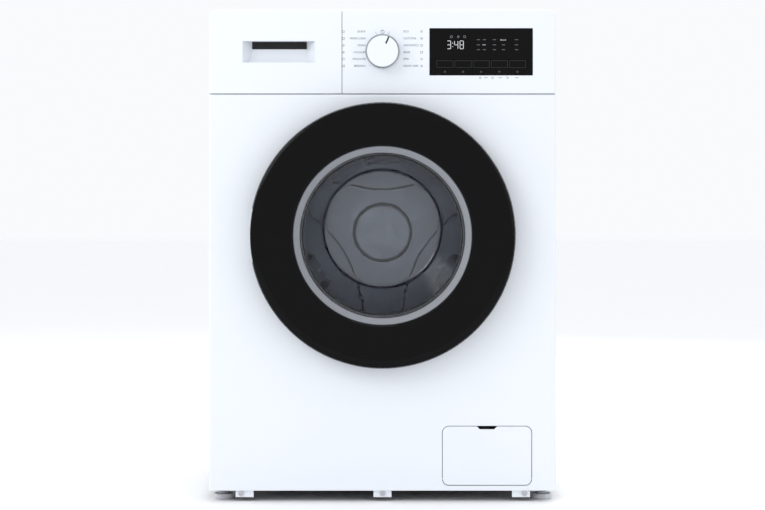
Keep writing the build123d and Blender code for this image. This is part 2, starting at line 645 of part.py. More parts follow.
with BuildPart() as base_frame:
    block(-BASE_X, BASE_X, BASE_WALL_START, BASE_END, BODY_FLOOR, BASE_TOP)
    block(-BASE_X + BASE_WALL, BASE_X - BASE_WALL, BASE_WALL_START + BASE_WALL, BASE_END - BASE_WALL,
          BODY_FLOOR + BASE_WALL, BASE_TOP, Mode.SUBTRACT)
    block(-NARROW_X, NARROW_X, BASE_DEPTH_START, BASE_WALL_START, BODY_FLOOR, BODY_FLOOR + BASE_WALL)
    for x in TAB_SPOTS:
        block(x - TAB_W / 2, x + TAB_W / 2, BASE_DEPTH_START, BASE_DEPTH_START + 6, BODY_FLOOR - TAB_DROP,
              BODY_FLOOR)
    for x in TAB_SCREW_SPOTS:
        rod(x, TAB_SCREW_Z, SCREW_HOLE_R, BASE_DEPTH_START, BASE_DEPTH_START + 6, Mode.SUBTRACT)
    for x, depth in FOOT_SPOTS.values():
        post(x, depth, BOSS_R, BODY_FLOOR, BASE_TOP - 10)
        post(x, depth, FOOT_THREAD_R + THREAD_PLAY, BODY_FLOOR, BASE_TOP - 10, Mode.SUBTRACT)
    for side in (-1, 1):
        for face in (-1, 1):
            depth = DAMPER_DEPTH + face * (LUG_GAP + LUG_THICK / 2)
            x = side * DAMPER_FOOT_X
            block(x - 12, x + 12, depth - LUG_THICK / 2, depth + LUG_THICK / 2, BODY_FLOOR,
                  DAMPER_FOOT_Z + 10)
        rod(side * DAMPER_FOOT_X, DAMPER_FOOT_Z, PIN_R, DAMPER_DEPTH - LUG_GAP, DAMPER_DEPTH + LUG_GAP)
    # ears behind the front panel that the filter door's pins turn in
    for side in (-1, 1):
        x0, x1 = sorted(SERVICE_X + side * reach for reach in (SERVICE_EAR,
                                                               SERVICE_EAR + SERVICE_EAR_THICK))
        block(x0, x1, BASE_DEPTH_START, BASE_DEPTH_START + 6, BODY_FLOOR, SERVICE_PIN_Z + SERVICE_EAR_HALF)
        block(x0, x1, SHEET + BODY_GAP, BASE_DEPTH_START, SERVICE_PIN_Z - SERVICE_EAR_HALF,
              SERVICE_PIN_Z + SERVICE_EAR_HALF)
        with BuildSketch(Plane(origin=(x0, Y_FRONT + SERVICE_PIN_DEPTH, SERVICE_PIN_Z), z_dir=(1, 0, 0))):
            Circle(PIN_STUB_R + PIN_PLAY)
        extrude(amount=SERVICE_EAR_THICK, mode=Mode.SUBTRACT)
    # cradle for the drain pump, and the hole that its filter is reached through
    rod(SERVICE_X, SERVICE_Z, PUMP_R + 1.5, BASE_WALL_START, BASE_WALL_START + BASE_WALL, Mode.SUBTRACT)
    for depth in (PUMP_FRONT + 20, PUMP_FRONT + PUMP_LENGTH - 20):
        block(SERVICE_X - PUMP_R, SERVICE_X + PUMP_R, depth - 3, depth + 3, BODY_FLOOR, SERVICE_Z - 16)
        rod(SERVICE_X, SERVICE_Z, PUMP_R, depth - 3, depth + 3, Mode.SUBTRACT)
save(base_frame, "base_frame")

FOOT_NECK_R = 9.0
NUT_THICK = 5.0

for name, (x, depth) in FOOT_SPOTS.items():
    with BuildPart() as foot:
        post(x, depth, FOOT_R, 0, FOOT_THICK - 2.5)
        fillet(foot.edges(), 2.2)
        post(x, depth, FOOT_NECK_R, FOOT_THICK - 3, FOOT_THICK + 1)
        post(x, depth, FOOT_THREAD_R, FOOT_THICK, BASE_TOP - 14)
    save(foot, name)

with BuildPart() as foot_lock_nuts:
    for x, depth in FOOT_SPOTS.values():
        with BuildSketch(Plane(origin=(x, Y_FRONT + depth, BODY_FLOOR - NUT_THICK))):
            RegularPolygon(NUT_ACROSS / 2, 6, major_radius=False)
            Circle(FOOT_THREAD_R + THREAD_PLAY, mode=Mode.SUBTRACT)
        extrude(amount=NUT_THICK)
save(foot_lock_nuts, "foot_lock_nuts")

# ---------------------------------------------------------------- service door, filter and pump

DOOR_PLATE = 2.5
NOTCH_W = 35.0
NOTCH_H = 5.0
PIN_BLOCK_W = 12.0
PIN_BLOCK_HALF = 1.6

with BuildPart() as filter_door:
    with BuildSketch(front_plane(0, SERVICE_X, SERVICE_Z)):
        RectangleRounded(SERVICE_W, SERVICE_H, SERVICE_RADIUS)
    extrude(amount=-DOOR_PLATE)
    fillet(filter_door.faces().sort_by(Axis.Y)[0].edges(), 1.0)
    with BuildSketch(front_plane(0, SERVICE_X, SERVICE_Z + SERVICE_H / 2)):
        closed_outline((-NOTCH_W / 2, 0.1), (-NOTCH_W / 2 + 5, -NOTCH_H), (NOTCH_W / 2 - 5, -NOTCH_H),
                       (NOTCH_W / 2, 0.1))
    extrude(amount=-DOOR_PLATE, mode=Mode.SUBTRACT)
    # two blocks on its back, each with a pin that reaches out to an ear
    for side in (-1, 1):
        inner = SERVICE_W / 2 - SERVICE_RADIUS - PIN_BLOCK_W
        x0, x1 = sorted(SERVICE_X + side * reach for reach in (inner, inner + PIN_BLOCK_W))
        block(x0, x1, DOOR_PLATE - 0.2, SERVICE_PIN_DEPTH + PIN_BLOCK_HALF, SERVICE_PIN_Z - PIN_BLOCK_HALF,
              SERVICE_PIN_Z + PIN_BLOCK_HALF)
        with BuildSketch(Plane(origin=(SERVICE_X + side * inner, Y_FRONT + SERVICE_PIN_DEPTH,
                                       SERVICE_PIN_Z),
                               z_dir=(side, 0, 0))):
            Circle(PIN_STUB_R)
        extrude(amount=SERVICE_PIN_REACH - inner)
save(filter_door, "filter_door")

CAP_R = 27.0
CAP_FRONT = 16.0
GRIP_BAR = 8.0
FILTER_SEAL = 8.0
BASKET_R = PUMP_R - 9.0
BASKET_LENGTH = 50.0

with BuildPart() as drain_filter:
    rod(SERVICE_X, SERVICE_Z, CAP_R, CAP_FRONT + 10, PUMP_FRONT)
    block(SERVICE_X - CAP_R + 3, SERVICE_X + CAP_R - 3, CAP_FRONT, CAP_FRONT + 10, SERVICE_Z - GRIP_BAR / 2,
          SERVICE_Z + GRIP_BAR / 2)
    # the seal shoulder that fits the pump's bore, and the basket behind it
    rod(SERVICE_X, SERVICE_Z, PUMP_BORE_R - SLIDE_FIT, PUMP_FRONT, PUMP_FRONT + FILTER_SEAL)
    rod(SERVICE_X, SERVICE_Z, BASKET_R, PUMP_FRONT, PUMP_FRONT + BASKET_LENGTH)
    rod(SERVICE_X, SERVICE_Z, BASKET_R - 3, PUMP_FRONT + 3, PUMP_FRONT + BASKET_LENGTH, Mode.SUBTRACT)
    for z in (-10, 0, 10):
        block(SERVICE_X - PUMP_R, SERVICE_X + PUMP_R, PUMP_FRONT + 10, PUMP_FRONT + 44, SERVICE_Z + z - 2,
              SERVICE_Z + z + 2, Mode.SUBTRACT)
save(drain_filter, "drain_filter")

SUMP_HOSE_R = 17.0
SUMP_BORE_R = 14.3
SUMP_SPIGOT_R = 14.0
SUMP_PUMP_DEPTH = 95.0
SUMP_TUB_X = 150.0
SUMP_TUB_DEPTH = 150.0
SUMP_PUMP_TOP = 150.0
SUMP_TUB_ROOT = AXIS_Z - math.sqrt(TUB_R**2 - SUMP_TUB_X**2)
SUMP_TUB_END = SUMP_TUB_ROOT - 33.0
PUMP_BACK = PUMP_FRONT + PUMP_LENGTH
DRAIN_HOSE_R = 12.0
DRAIN_SPIGOT_R = 9.5
DRAIN_START_X = SERVICE_X + PUMP_R + 22
DRAIN_DEPTH = 75.0

with BuildPart() as drain_pump:
    rod(SERVICE_X, SERVICE_Z, PUMP_R, PUMP_FRONT, PUMP_BACK)
    post(SERVICE_X, SUMP_PUMP_DEPTH, SUMP_SPIGOT_R, SERVICE_Z + 10, SUMP_PUMP_TOP)
    side_plane = Plane(origin=(SERVICE_X + 10, Y_FRONT + DRAIN_DEPTH, SERVICE_Z), z_dir=(1, 0, 0))
    with BuildSketch(side_plane):
        Circle(DRAIN_SPIGOT_R)
    extrude(amount=DRAIN_START_X - SERVICE_X - 10)
    with BuildSketch(side_plane):
        Circle(DRAIN_SPIGOT_R - 2.5)
    extrude(amount=DRAIN_START_X - SERVICE_X - 10, mode=Mode.SUBTRACT)
    post(SERVICE_X, SUMP_PUMP_DEPTH, SUMP_SPIGOT_R - 3, SERVICE_Z, SUMP_PUMP_TOP, Mode.SUBTRACT)
    rod(SERVICE_X, SERVICE_Z, PUMP_BORE_R, PUMP_FRONT, PUMP_BACK - 4, Mode.SUBTRACT)
    # its motor
    rod(SERVICE_X, SERVICE_Z, PUMP_R - 4, PUMP_BACK, PUMP_BACK + 10)
    rod(SERVICE_X, SERVICE_Z, 21, PUMP_BACK + 10, PUMP_BACK + 52)
    block(SERVICE_X - 24, SERVICE_X + 24, PUMP_BACK + 18, PUMP_BACK + 44, SERVICE_Z - 24, SERVICE_Z + 24)
    rod(SERVICE_X, SERVICE_Z, 9, PUMP_BACK + 52, PUMP_BACK + 58)
save(drain_pump, "drain_pump")

# ---------------------------------------------------------------- tub

MOUTH_WALL = 4.0
FLANGE_R = TUB_R + 11.0
FLANGE_THICK = 4.0
RIB_DEPTHS = (140.0, 185.0, 230.0)
TUB_INSIDE = TUB_R - TUB_WALL
SHAFT_R = 15.0
SHAFT_REAR_R = 12.5
BEARING_R = 31.0
BEARING_REAR_R = 26.0
BEARING_DEPTH = 478.0
BEARING_WIDTH = 16.0
BEARING_REAR_DEPTH = 498.0
BEARING_REAR_WIDTH = 15.0
HUB_R = 44.0
HUB_START = 456.0
HUB_END = BEARING_REAR_DEPTH + BEARING_REAR_WIDTH
SEAL_DEPTH = 470.0
SEAL_WIDTH = 7.0

with BuildPart() as tub_front:
    with BuildSketch(axial_plane()):
        closed_outline(
            (TUB_MOUTH_R, TUB_FRONT - COLLAR_LENGTH), (TUB_MOUTH_R + MOUTH_WALL, TUB_FRONT - COLLAR_LENGTH),
            (TUB_MOUTH_R + MOUTH_WALL, TUB_FRONT), (TUB_R, TUB_FRONT), (TUB_R, TUB_SPLIT - FLANGE_THICK),
            (FLANGE_R, TUB_SPLIT - FLANGE_THICK), (FLANGE_R, TUB_SPLIT), (TUB_INSIDE, TUB_SPLIT),
            (TUB_INSIDE, TUB_FRONT + TUB_WALL), (TUB_MOUTH_R, TUB_FRONT + TUB_WALL),
        )
        for depth in RIB_DEPTHS:
            closed_outline((TUB_R - 1, depth), (TUB_R + 6, depth), (TUB_R + 6, depth + 3),
                           (TUB_R - 1, depth + 3))
    revolve(axis=DRUM_AXIS)
    # spigot that feeds the drain pump
    post(SUMP_TUB_X, SUMP_TUB_DEPTH, SUMP_SPIGOT_R, SUMP_TUB_END, SUMP_TUB_ROOT + 12)
    post(SUMP_TUB_X, SUMP_TUB_DEPTH, SUMP_SPIGOT_R - 3, SUMP_TUB_END, SUMP_TUB_ROOT + 20, Mode.SUBTRACT)
    rod(0, AXIS_Z, TUB_INSIDE, TUB_FRONT + TUB_WALL, TUB_SPLIT, Mode.SUBTRACT)
save(tub_front, "tub_front")

REAR_HALF = TUB_SPLIT + BODY_GAP
HEATER_R = 4.0
HEATER_X = 16.0
HEATER_Z = AXIS_Z - DRUM_R - TUB_GAP / 2 + 0.5
HEATER_FRONT = 310.0
HEATER_END = 484.0
ARM_OUT = SPRING_X + 8.0
ARM_TOP = AXIS_Z + 168.0
ARM_FLOOR = AXIS_Z + 144.0
ARM_IN = math.sqrt(TUB_R**2 - (ARM_TOP - AXIS_Z) ** 2) - 6.0
FORK_TOP = AXIS_Z - math.sqrt((TUB_R - 6) ** 2 - (DAMPER_HEAD_X + 12) ** 2)
TUB_RIBS = 12
MOTOR_LUG_SPOTS = (MOTOR_X - 42.0, MOTOR_X + 42.0)
MOTOR_LUG_HALF = 8.0
MOTOR_LUG_START = 380.0
MOTOR_LUG_END = 450.0
MOTOR_LUG_TOP = MOTOR_Z + MOTOR_R + 3.7
FILL_FOOT = AXIS_Z + math.sqrt(TUB_R**2 - FILL_X**2) - 26.0
TUB_SPIGOT_TOP = HOUSING_Z0 - 23.0

with BuildPart() as tub_rear:
    with BuildSketch(axial_plane()):
        closed_outline(
            (TUB_INSIDE, REAR_HALF), (FLANGE_R, REAR_HALF), (FLANGE_R, REAR_HALF + FLANGE_THICK),
            (TUB_R, REAR_HALF + FLANGE_THICK), (TUB_R, TUB_REAR), (HUB_R, TUB_REAR), (HUB_R, HUB_END),
            (BEARING_REAR_R, HUB_END), (BEARING_REAR_R, BEARING_REAR_DEPTH),
            (SHAFT_R + 4, BEARING_REAR_DEPTH),
            (SHAFT_R + 4, BEARING_DEPTH + BEARING_WIDTH), (BEARING_R, BEARING_DEPTH + BEARING_WIDTH),
            (BEARING_R, HUB_START), (HUB_R, HUB_START), (HUB_R, TUB_REAR - TUB_WALL),
            (TUB_INSIDE, TUB_REAR - TUB_WALL),
        )
    revolve(axis=DRUM_AXIS)
    with BuildSketch(axial_plane()):
        closed_outline((HUB_R - 2, TUB_REAR - 1), (TUB_R - 6, TUB_REAR - 1), (TUB_R - 6, TUB_REAR + 8),
                       (HUB_R - 2, TUB_REAR + 24))
    rib = extrude(amount=2, both=True, mode=Mode.PRIVATE)
    for number in range(TUB_RIBS):
        add(rib.rotate(DRUM_AXIS, number * 360 / TUB_RIBS))
    # arms that the suspension springs hook into
    for side in (-1, 1):
        x0, x1 = sorted((side * ARM_IN, side * ARM_OUT))
        block(x0, x1, SPRING_DEPTH - 9, SPRING_DEPTH + 9, ARM_FLOOR, ARM_TOP)
    # forks that the damper rods are pinned to
    for side in (-1, 1):
        x = side * DAMPER_HEAD_X
        for face in (-1, 1):
            depth = DAMPER_DEPTH + face * (LUG_GAP + LUG_THICK / 2)
            block(x - 12, x + 12, depth - LUG_THICK / 2, depth + LUG_THICK / 2, DAMPER_HEAD_Z - 9, FORK_TOP)
        rod(x, DAMPER_HEAD_Z, PIN_R, DAMPER_DEPTH - LUG_GAP, DAMPER_DEPTH + LUG_GAP)
    post(FILL_X, FILL_DEPTH, SPIGOT_R, FILL_FOOT, TUB_SPIGOT_TOP)
    post(FILL_X, FILL_DEPTH, BORE_R, FILL_FOOT - 10, TUB_SPIGOT_TOP, Mode.SUBTRACT)
    # lugs that the motor hangs from
    for x in MOTOR_LUG_SPOTS:
        block(x - MOTOR_LUG_HALF, x + MOTOR_LUG_HALF, MOTOR_LUG_START, MOTOR_LUG_END,
              MOTOR_LUG_TOP + BODY_GAP,
              AXIS_Z - TUB_R + 14)
    rod(0, AXIS_Z, TUB_INSIDE, REAR_HALF, TUB_REAR - TUB_WALL - 15, Mode.SUBTRACT)
    for x in (-HEATER_X, HEATER_X):
        rod(x, HEATER_Z, HEATER_R + BODY_GAP, TUB_REAR - TUB_WALL - 1, HEATER_END + 1, Mode.SUBTRACT)
save(tub_rear, "tub_rear")

SEAL_BORE_R = SHAFT_R + 2.6

with BuildPart() as drum_bearings:
    for outer, inner, depth, width in (
        (BEARING_R, SHAFT_R + BEARING_FIT, BEARING_DEPTH, BEARING_WIDTH),
        (BEARING_REAR_R, SHAFT_REAR_R + BEARING_FIT, BEARING_REAR_DEPTH, BEARING_REAR_WIDTH),
        (BEARING_R, SEAL_BORE_R, SEAL_DEPTH, SEAL_WIDTH),
    ):
        with BuildSketch(front_plane(depth, 0, AXIS_Z)):
            Circle(outer)
            Circle(inner, mode=Mode.SUBTRACT)
        extrude(amount=-width)
save(drum_bearings, "drum_bearings")

WEIGHT_THICK = 42.0
WEIGHT_R0 = TUB_MOUTH_R + 14.0
WEIGHT_R1 = TUB_R - 2.0
WEIGHT_BACK = TUB_FRONT - 0.5

with BuildPart() as counterweights:
    for start, arc in ((28, 124), (208, 124)):
        with BuildSketch(front_plane(WEIGHT_BACK - WEIGHT_THICK, 0, AXIS_Z)):
            with BuildLine():
                outer = CenterArc((0, 0), WEIGHT_R1, start, arc)
                inner = CenterArc((0, 0), WEIGHT_R0, start, arc)
                Line(outer @ 0, inner @ 0)
                Line(outer @ 1, inner @ 1)
            make_face()
        extrude(amount=-WEIGHT_THICK)
    fillet(counterweights.faces().group_by(Axis.Y)[0].edges(), 5)
save(counterweights, "counterweights")

with BuildPart() as heater_element:
    with BuildLine() as heater_path:
        FilletPolyline(
            (-HEATER_X, Y_FRONT + HEATER_END, HEATER_Z), (-HEATER_X, Y_FRONT + HEATER_FRONT, HEATER_Z),
            (HEATER_X, Y_FRONT + HEATER_FRONT, HEATER_Z), (HEATER_X, Y_FRONT + HEATER_END, HEATER_Z),
            radius=12,
        )
    with BuildSketch(Plane(origin=heater_path.line @ 0, z_dir=heater_path.line % 0)):
        Circle(HEATER_R)
    sweep()
save(heater_element, "heater_element")

# ---------------------------------------------------------------- drum

HUB_CAP_R = 58.0
HUB_CAP_RISE = 12.0
PAD_RISE = 10.0
PAD_R = DRUM_R - 8.7
# the inner edge of a raised pad, as shares of PAD_R
PAD_EDGE = [(-0.7875, 0.6159), (-0.405, 0.444), (0, 0.361), (0.405, 0.444), (0.7875, 0.6159)]
LIFTER_FRONT = 150.0
LIFTER_ANGLES = (90, 210, 330)
LIFTER_ROOT = DRUM_R - DRUM_SHEET
BACK_FRONT = DRUM_BACK - DRUM_SHEET

with BuildPart() as drum_shell:
    with BuildSketch(axial_plane()):
        closed_outline(
            (DRUM_MOUTH_R, DRUM_FRONT), (DRUM_MOUTH_R + 8, DRUM_FRONT - 3), (DRUM_R - 10, DRUM_FRONT + 3),
            (DRUM_R, DRUM_FRONT + 12), (DRUM_R, DRUM_BACK), (DRUM_R - DRUM_SHEET, DRUM_BACK),
            (DRUM_R - DRUM_SHEET, DRUM_FRONT + 12.5), (DRUM_R - 10.6, DRUM_FRONT + 4.2),
            (DRUM_MOUTH_R + 8, DRUM_FRONT - 1.8), (DRUM_MOUTH_R + 1.2, DRUM_FRONT + 1.2),
            (DRUM_MOUTH_R + 1.2, DRUM_FRONT + 10), (DRUM_MOUTH_R, DRUM_FRONT + 10),
        )
    revolve(axis=DRUM_AXIS)
save(drum_shell, "drum_shell")

with BuildPart() as raised_pad:
    with BuildSketch(front_plane(BACK_FRONT - PAD_RISE, 0, AXIS_Z)):
        with BuildLine():
            edge = Spline(*[(PAD_R * x, PAD_R * z) for x, z in PAD_EDGE])
            ThreePointArc(edge @ 0, (0, PAD_R), edge @ 1)
        make_face()
    extrude(amount=-PAD_RISE)
    fillet(raised_pad.faces().sort_by(Axis.Y)[0].edges(), 5)
    rear_face = raised_pad.faces().sort_by(Axis.Y)[-1]
    with BuildSketch(rear_face) as hollow:
        offset(rear_face, amount=-2.5)
    extrude(hollow.sketch, amount=-(PAD_RISE - 2.5), mode=Mode.SUBTRACT)

with BuildPart() as drum_back:
    rod(0, AXIS_Z, LIFTER_ROOT - BODY_GAP, BACK_FRONT, DRUM_BACK)
    rod(0, AXIS_Z, HUB_CAP_R, BACK_FRONT - HUB_CAP_RISE, BACK_FRONT)
    fillet(drum_back.faces().sort_by(Axis.Y)[0].edges(), 7)
    rod(0, AXIS_Z, HUB_CAP_R - 7, BACK_FRONT - HUB_CAP_RISE + 2, DRUM_BACK, Mode.SUBTRACT)
    for angle in LIFTER_ANGLES:
        add(raised_pad.part.rotate(DRUM_AXIS, 90 - angle))
save(drum_back, "drum_back")

LIFTER_END = BACK_FRONT - PAD_RISE - 0.5
LIFTER_WALL = 2.5
RIDGE_FRONT_R = DRUM_R - 60.0
RIDGE_BACK_R = DRUM_R - 98.0


def lifter_section(depth, tip_r, tip_half, root_half):
    with BuildSketch(front_plane(depth, 0, AXIS_Z)) as section:
        closed_outline((-root_half, DRUM_R + 5), (-tip_half, tip_r), (tip_half, tip_r),
                       (root_half, DRUM_R + 5))
    return section.sketch


with BuildPart() as lifter:
    loft([lifter_section(LIFTER_FRONT, RIDGE_FRONT_R, 16, 48),
          lifter_section(LIFTER_END, RIDGE_BACK_R, 32, 74)])
    fillet(lifter.edges().filter_by(lambda e: e.center().Z < AXIS_Z + DRUM_R - 46 and e.length > 200), 9)
    loft([lifter_section(LIFTER_FRONT + LIFTER_WALL, RIDGE_FRONT_R + 6, 10, 44),
          lifter_section(LIFTER_END - LIFTER_WALL, RIDGE_BACK_R + 6, 26, 70)], mode=Mode.SUBTRACT)
    rod(0, AXIS_Z, LIFTER_ROOT - BODY_GAP - SLIDE_FIT, LIFTER_FRONT, LIFTER_END, Mode.INTERSECT)

with BuildPart() as drum_lifters:
    for angle in LIFTER_ANGLES:
        add(lifter.part.rotate(DRUM_AXIS, 90 - angle))
save(drum_lifters, "drum_lifters")

SPIDER_ARM_R = DRUM_R - 11.0

with BuildPart() as drum_spider:
    rod(0, AXIS_Z, 34, DRUM_BACK, HUB_START - SEAT_GAP)
    rod(0, AXIS_Z, 29, HUB_START - SEAT_GAP, SEAL_DEPTH - 1)
    rod(0, AXIS_Z, SEAL_BORE_R - SLIDE_FIT, SEAL_DEPTH - 1, BEARING_DEPTH - 0.3)
    rod(0, AXIS_Z, SHAFT_R, BEARING_DEPTH - 0.3, BEARING_DEPTH + BEARING_WIDTH + 0.5)
    rod(0, AXIS_Z, SHAFT_REAR_R, BEARING_DEPTH + BEARING_WIDTH + 0.5, SHAFT_END)
    with BuildSketch(front_plane(DRUM_BACK, 0, AXIS_Z)):
        closed_outline((-24, 20), (-15, SPIDER_ARM_R), (15, SPIDER_ARM_R), (24, 20))
    arm = extrude(amount=-7.5, mode=Mode.PRIVATE)
    for angle in LIFTER_ANGLES:
        add(arm.rotate(DRUM_AXIS, 90 - angle))
save(drum_spider, "drum_spider")

SPOKES = 6
HUB_BOSS_R = 24.0

with BuildPart() as drum_pulley:
    with BuildSketch(axial_plane()):
        closed_outline(
            (PULLEY_R - 6, PULLEY_DEPTH), (PULLEY_R + 2, PULLEY_DEPTH), (PULLEY_R + 2, PULLEY_DEPTH + 1.5),
            (PULLEY_R, PULLEY_DEPTH + 2), (PULLEY_R, PULLEY_DEPTH + PULLEY_WIDTH - 2),
            (PULLEY_R + 2, PULLEY_DEPTH + PULLEY_WIDTH - 1.5), (PULLEY_R + 2, PULLEY_DEPTH + PULLEY_WIDTH),
            (PULLEY_R - 6, PULLEY_DEPTH + PULLEY_WIDTH),
        )
        closed_outline((SHAFT_REAR_R, PULLEY_DEPTH - 5), (HUB_BOSS_R, PULLEY_DEPTH - 5),
                       (HUB_BOSS_R, PULLEY_DEPTH + PULLEY_WIDTH),
                       (SHAFT_REAR_R, PULLEY_DEPTH + PULLEY_WIDTH))
    revolve(axis=DRUM_AXIS)
    with BuildSketch(front_plane(PULLEY_DEPTH + 5, 0, AXIS_Z)):
        closed_outline((-12, HUB_BOSS_R - 3), (-8, PULLEY_R - 4), (8, PULLEY_R - 4), (12, HUB_BOSS_R - 3))
    spoke = extrude(amount=-6, mode=Mode.PRIVATE)
    for number in range(SPOKES):
        add(spoke.rotate(DRUM_AXIS, number * 360 / SPOKES))
save(drum_pulley, "drum_pulley")

BELT_THICK = 3.0
BELT_PLAY = 0.3
BELT_START = PULLEY_DEPTH + 2.5
BELT_WIDTH = PULLEY_WIDTH - 5.0


def belt_loop(thickness, mode):
    with BuildSketch(front_plane(BELT_START, 0, AXIS_Z)) as outline:
        Circle(PULLEY_R + BELT_PLAY + thickness)
        with Locations((MOTOR_X, MOTOR_Z - AXIS_Z)):
            Circle(MOTOR_PULLEY_R + BELT_PLAY + thickness)
        make_hull()
    extrude(outline.sketch, amount=-BELT_WIDTH, mode=mode)


with BuildPart() as drive_belt:
    belt_loop(BELT_THICK, Mode.ADD)
    belt_loop(0, Mode.SUBTRACT)
save(drive_belt, "drive_belt")

MOTOR_START = 360.0
MOTOR_END = 500.0
MOTOR_SHAFT_R = 6.0
FIN_COUNT = 20

with BuildPart() as motor_body:
    rod(MOTOR_X, MOTOR_Z, MOTOR_R, MOTOR_START + 20, MOTOR_END - 20)
    rod(MOTOR_X, MOTOR_Z, MOTOR_R - 6, MOTOR_START, MOTOR_END)
    with BuildSketch(front_plane(MOTOR_START + 24, MOTOR_X, MOTOR_Z)):
        with PolarLocations(MOTOR_R, FIN_COUNT):
            Rectangle(4, 4)
    extrude(amount=-(MOTOR_END - MOTOR_START - 48), mode=Mode.SUBTRACT)
    for x in MOTOR_LUG_SPOTS:
        block(x - MOTOR_LUG_HALF, x + MOTOR_LUG_HALF, MOTOR_LUG_START, MOTOR_LUG_END,
              MOTOR_Z + MOTOR_R * 0.4,
              MOTOR_LUG_TOP)
    rod(MOTOR_X, MOTOR_Z, MOTOR_SHAFT_R + 2, MOTOR_END - 30, MOTOR_END, Mode.SUBTRACT)
save(motor_body, "motor_body")

with BuildPart() as motor_pulley:
    rod(MOTOR_X, MOTOR_Z, MOTOR_SHAFT_R, MOTOR_END - 28, PULLEY_DEPTH + PULLEY_WIDTH)
    rod(MOTOR_X, MOTOR_Z, MOTOR_PULLEY_R, PULLEY_DEPTH, PULLEY_DEPTH + PULLEY_WIDTH)
    for depth in (PULLEY_DEPTH, PULLEY_DEPTH + PULLEY_WIDTH - 2):
        rod(MOTOR_X, MOTOR_Z, MOTOR_PULLEY_R + 2, depth, depth + 2)
save(motor_pulley, "motor_pulley")

# ---------------------------------------------------------------- suspension

SPRING_TOP = RAIL_TOP - RAIL_H - 1.0
SPRING_FLOOR = ARM_TOP + 1.0
HOOK_STEM = 14.0

with BuildPart() as suspension_springs:
    for side in (-1, 1):
        coil_height = SPRING_TOP - SPRING_FLOOR - 2 * HOOK_STEM
        pitch = coil_height / SPRING_TURNS
        origin = (side * SPRING_X, Y_FRONT + SPRING_DEPTH, SPRING_FLOOR + HOOK_STEM)
        with BuildLine() as coil:
            Helix(pitch, coil_height, SPRING_R, center=origin)
        with BuildSketch(Plane(origin=coil.line @ 0, z_dir=coil.line % 0)):
            Circle(SPRING_WIRE_R)
        sweep(path=coil.line, is_frenet=True)
        for z0, z1 in ((SPRING_FLOOR, SPRING_FLOOR + HOOK_STEM - 1),
                       (SPRING_TOP - HOOK_STEM + 1, SPRING_TOP)):
            post(side * SPRING_X, SPRING_DEPTH, SPRING_R + SPRING_WIRE_R,
                 z0 if z0 > SPRING_FLOOR else z1 - 3,
                 z1 if z0 == SPRING_FLOOR else z0 + 3)
            post(side * SPRING_X, SPRING_DEPTH, SPRING_WIRE_R + 0.4, z0, z1)
save(suspension_springs, "suspension_springs")

DAMPER_LENGTH = math.hypot(DAMPER_FOOT_X - DAMPER_HEAD_X, DAMPER_HEAD_Z - DAMPER_FOOT_Z)
DAMPER_LEAN = math.degrees(math.atan2(DAMPER_FOOT_X - DAMPER_HEAD_X, DAMPER_HEAD_Z - DAMPER_FOOT_Z))
CYLINDER_END = 112.0
EYE_R = 10.0
EYE_HALF = 14.0
EYE_NECK = 6.0  # how far from a pin the straight part of a damper starts
CYLINDER_FLOOR = 22.0
ROD_START = 40.0


def damper_plane(side):
    """Origin at the lower pin, with local z along the damper towards its upper pin."""
    lean = math.radians(DAMPER_LEAN)
    return Plane(origin=(side * DAMPER_FOOT_X, Y_FRONT + DAMPER_DEPTH, DAMPER_FOOT_Z), x_dir=(0, 1, 0),
                 z_dir=(-side * math.sin(lean), 0, math.cos(lean)))


def damper_eye(side, along):
    """The round eye of a damper, bored for its pin."""
    centre = damper_plane(side).from_local_coords((0, 0, along))
    plane = Plane(origin=(centre.X, Y_FRONT + DAMPER_DEPTH - EYE_HALF, centre.Z), z_dir=(0, 1, 0))
    with BuildSketch(plane) as eye:
        Circle(EYE_R)
    extrude(eye.sketch, amount=2 * EYE_HALF)
    with BuildSketch(plane) as bore:
        Circle(PIN_R + PIN_PLAY)
    extrude(bore.sketch, amount=2 * EYE_HALF, mode=Mode.SUBTRACT)


for name, side in (("left", -1), ("right", 1)):
    axis = damper_plane(side)
    with BuildPart() as cylinder:
        with BuildSketch(axis.offset(EYE_NECK)):
            Circle(DAMPER_R)
        extrude(amount=CYLINDER_END - EYE_NECK)
        with BuildSketch(axis.offset(CYLINDER_FLOOR)):
            Circle(DAMPER_ROD_R + DAMPER_PLAY)
        extrude(amount=CYLINDER_END - CYLINDER_FLOOR, mode=Mode.SUBTRACT)
        damper_eye(side, 0)
    save(cylinder, f"damper_cylinder_{name}")
    with BuildPart() as damper_rod:
        with BuildSketch(axis.offset(ROD_START)):
            Circle(DAMPER_ROD_R)
        extrude(amount=DAMPER_LENGTH - ROD_START - EYE_NECK)
        damper_eye(side, DAMPER_LENGTH)
    save(damper_rod, f"damper_rod_{name}")

# ---------------------------------------------------------------- water path

VALVE_START = PANEL_BACK - 48.5
RISER_DEPTH = PANEL_BACK - 43.5
OUTLET_START = PANEL_BACK - 15.5

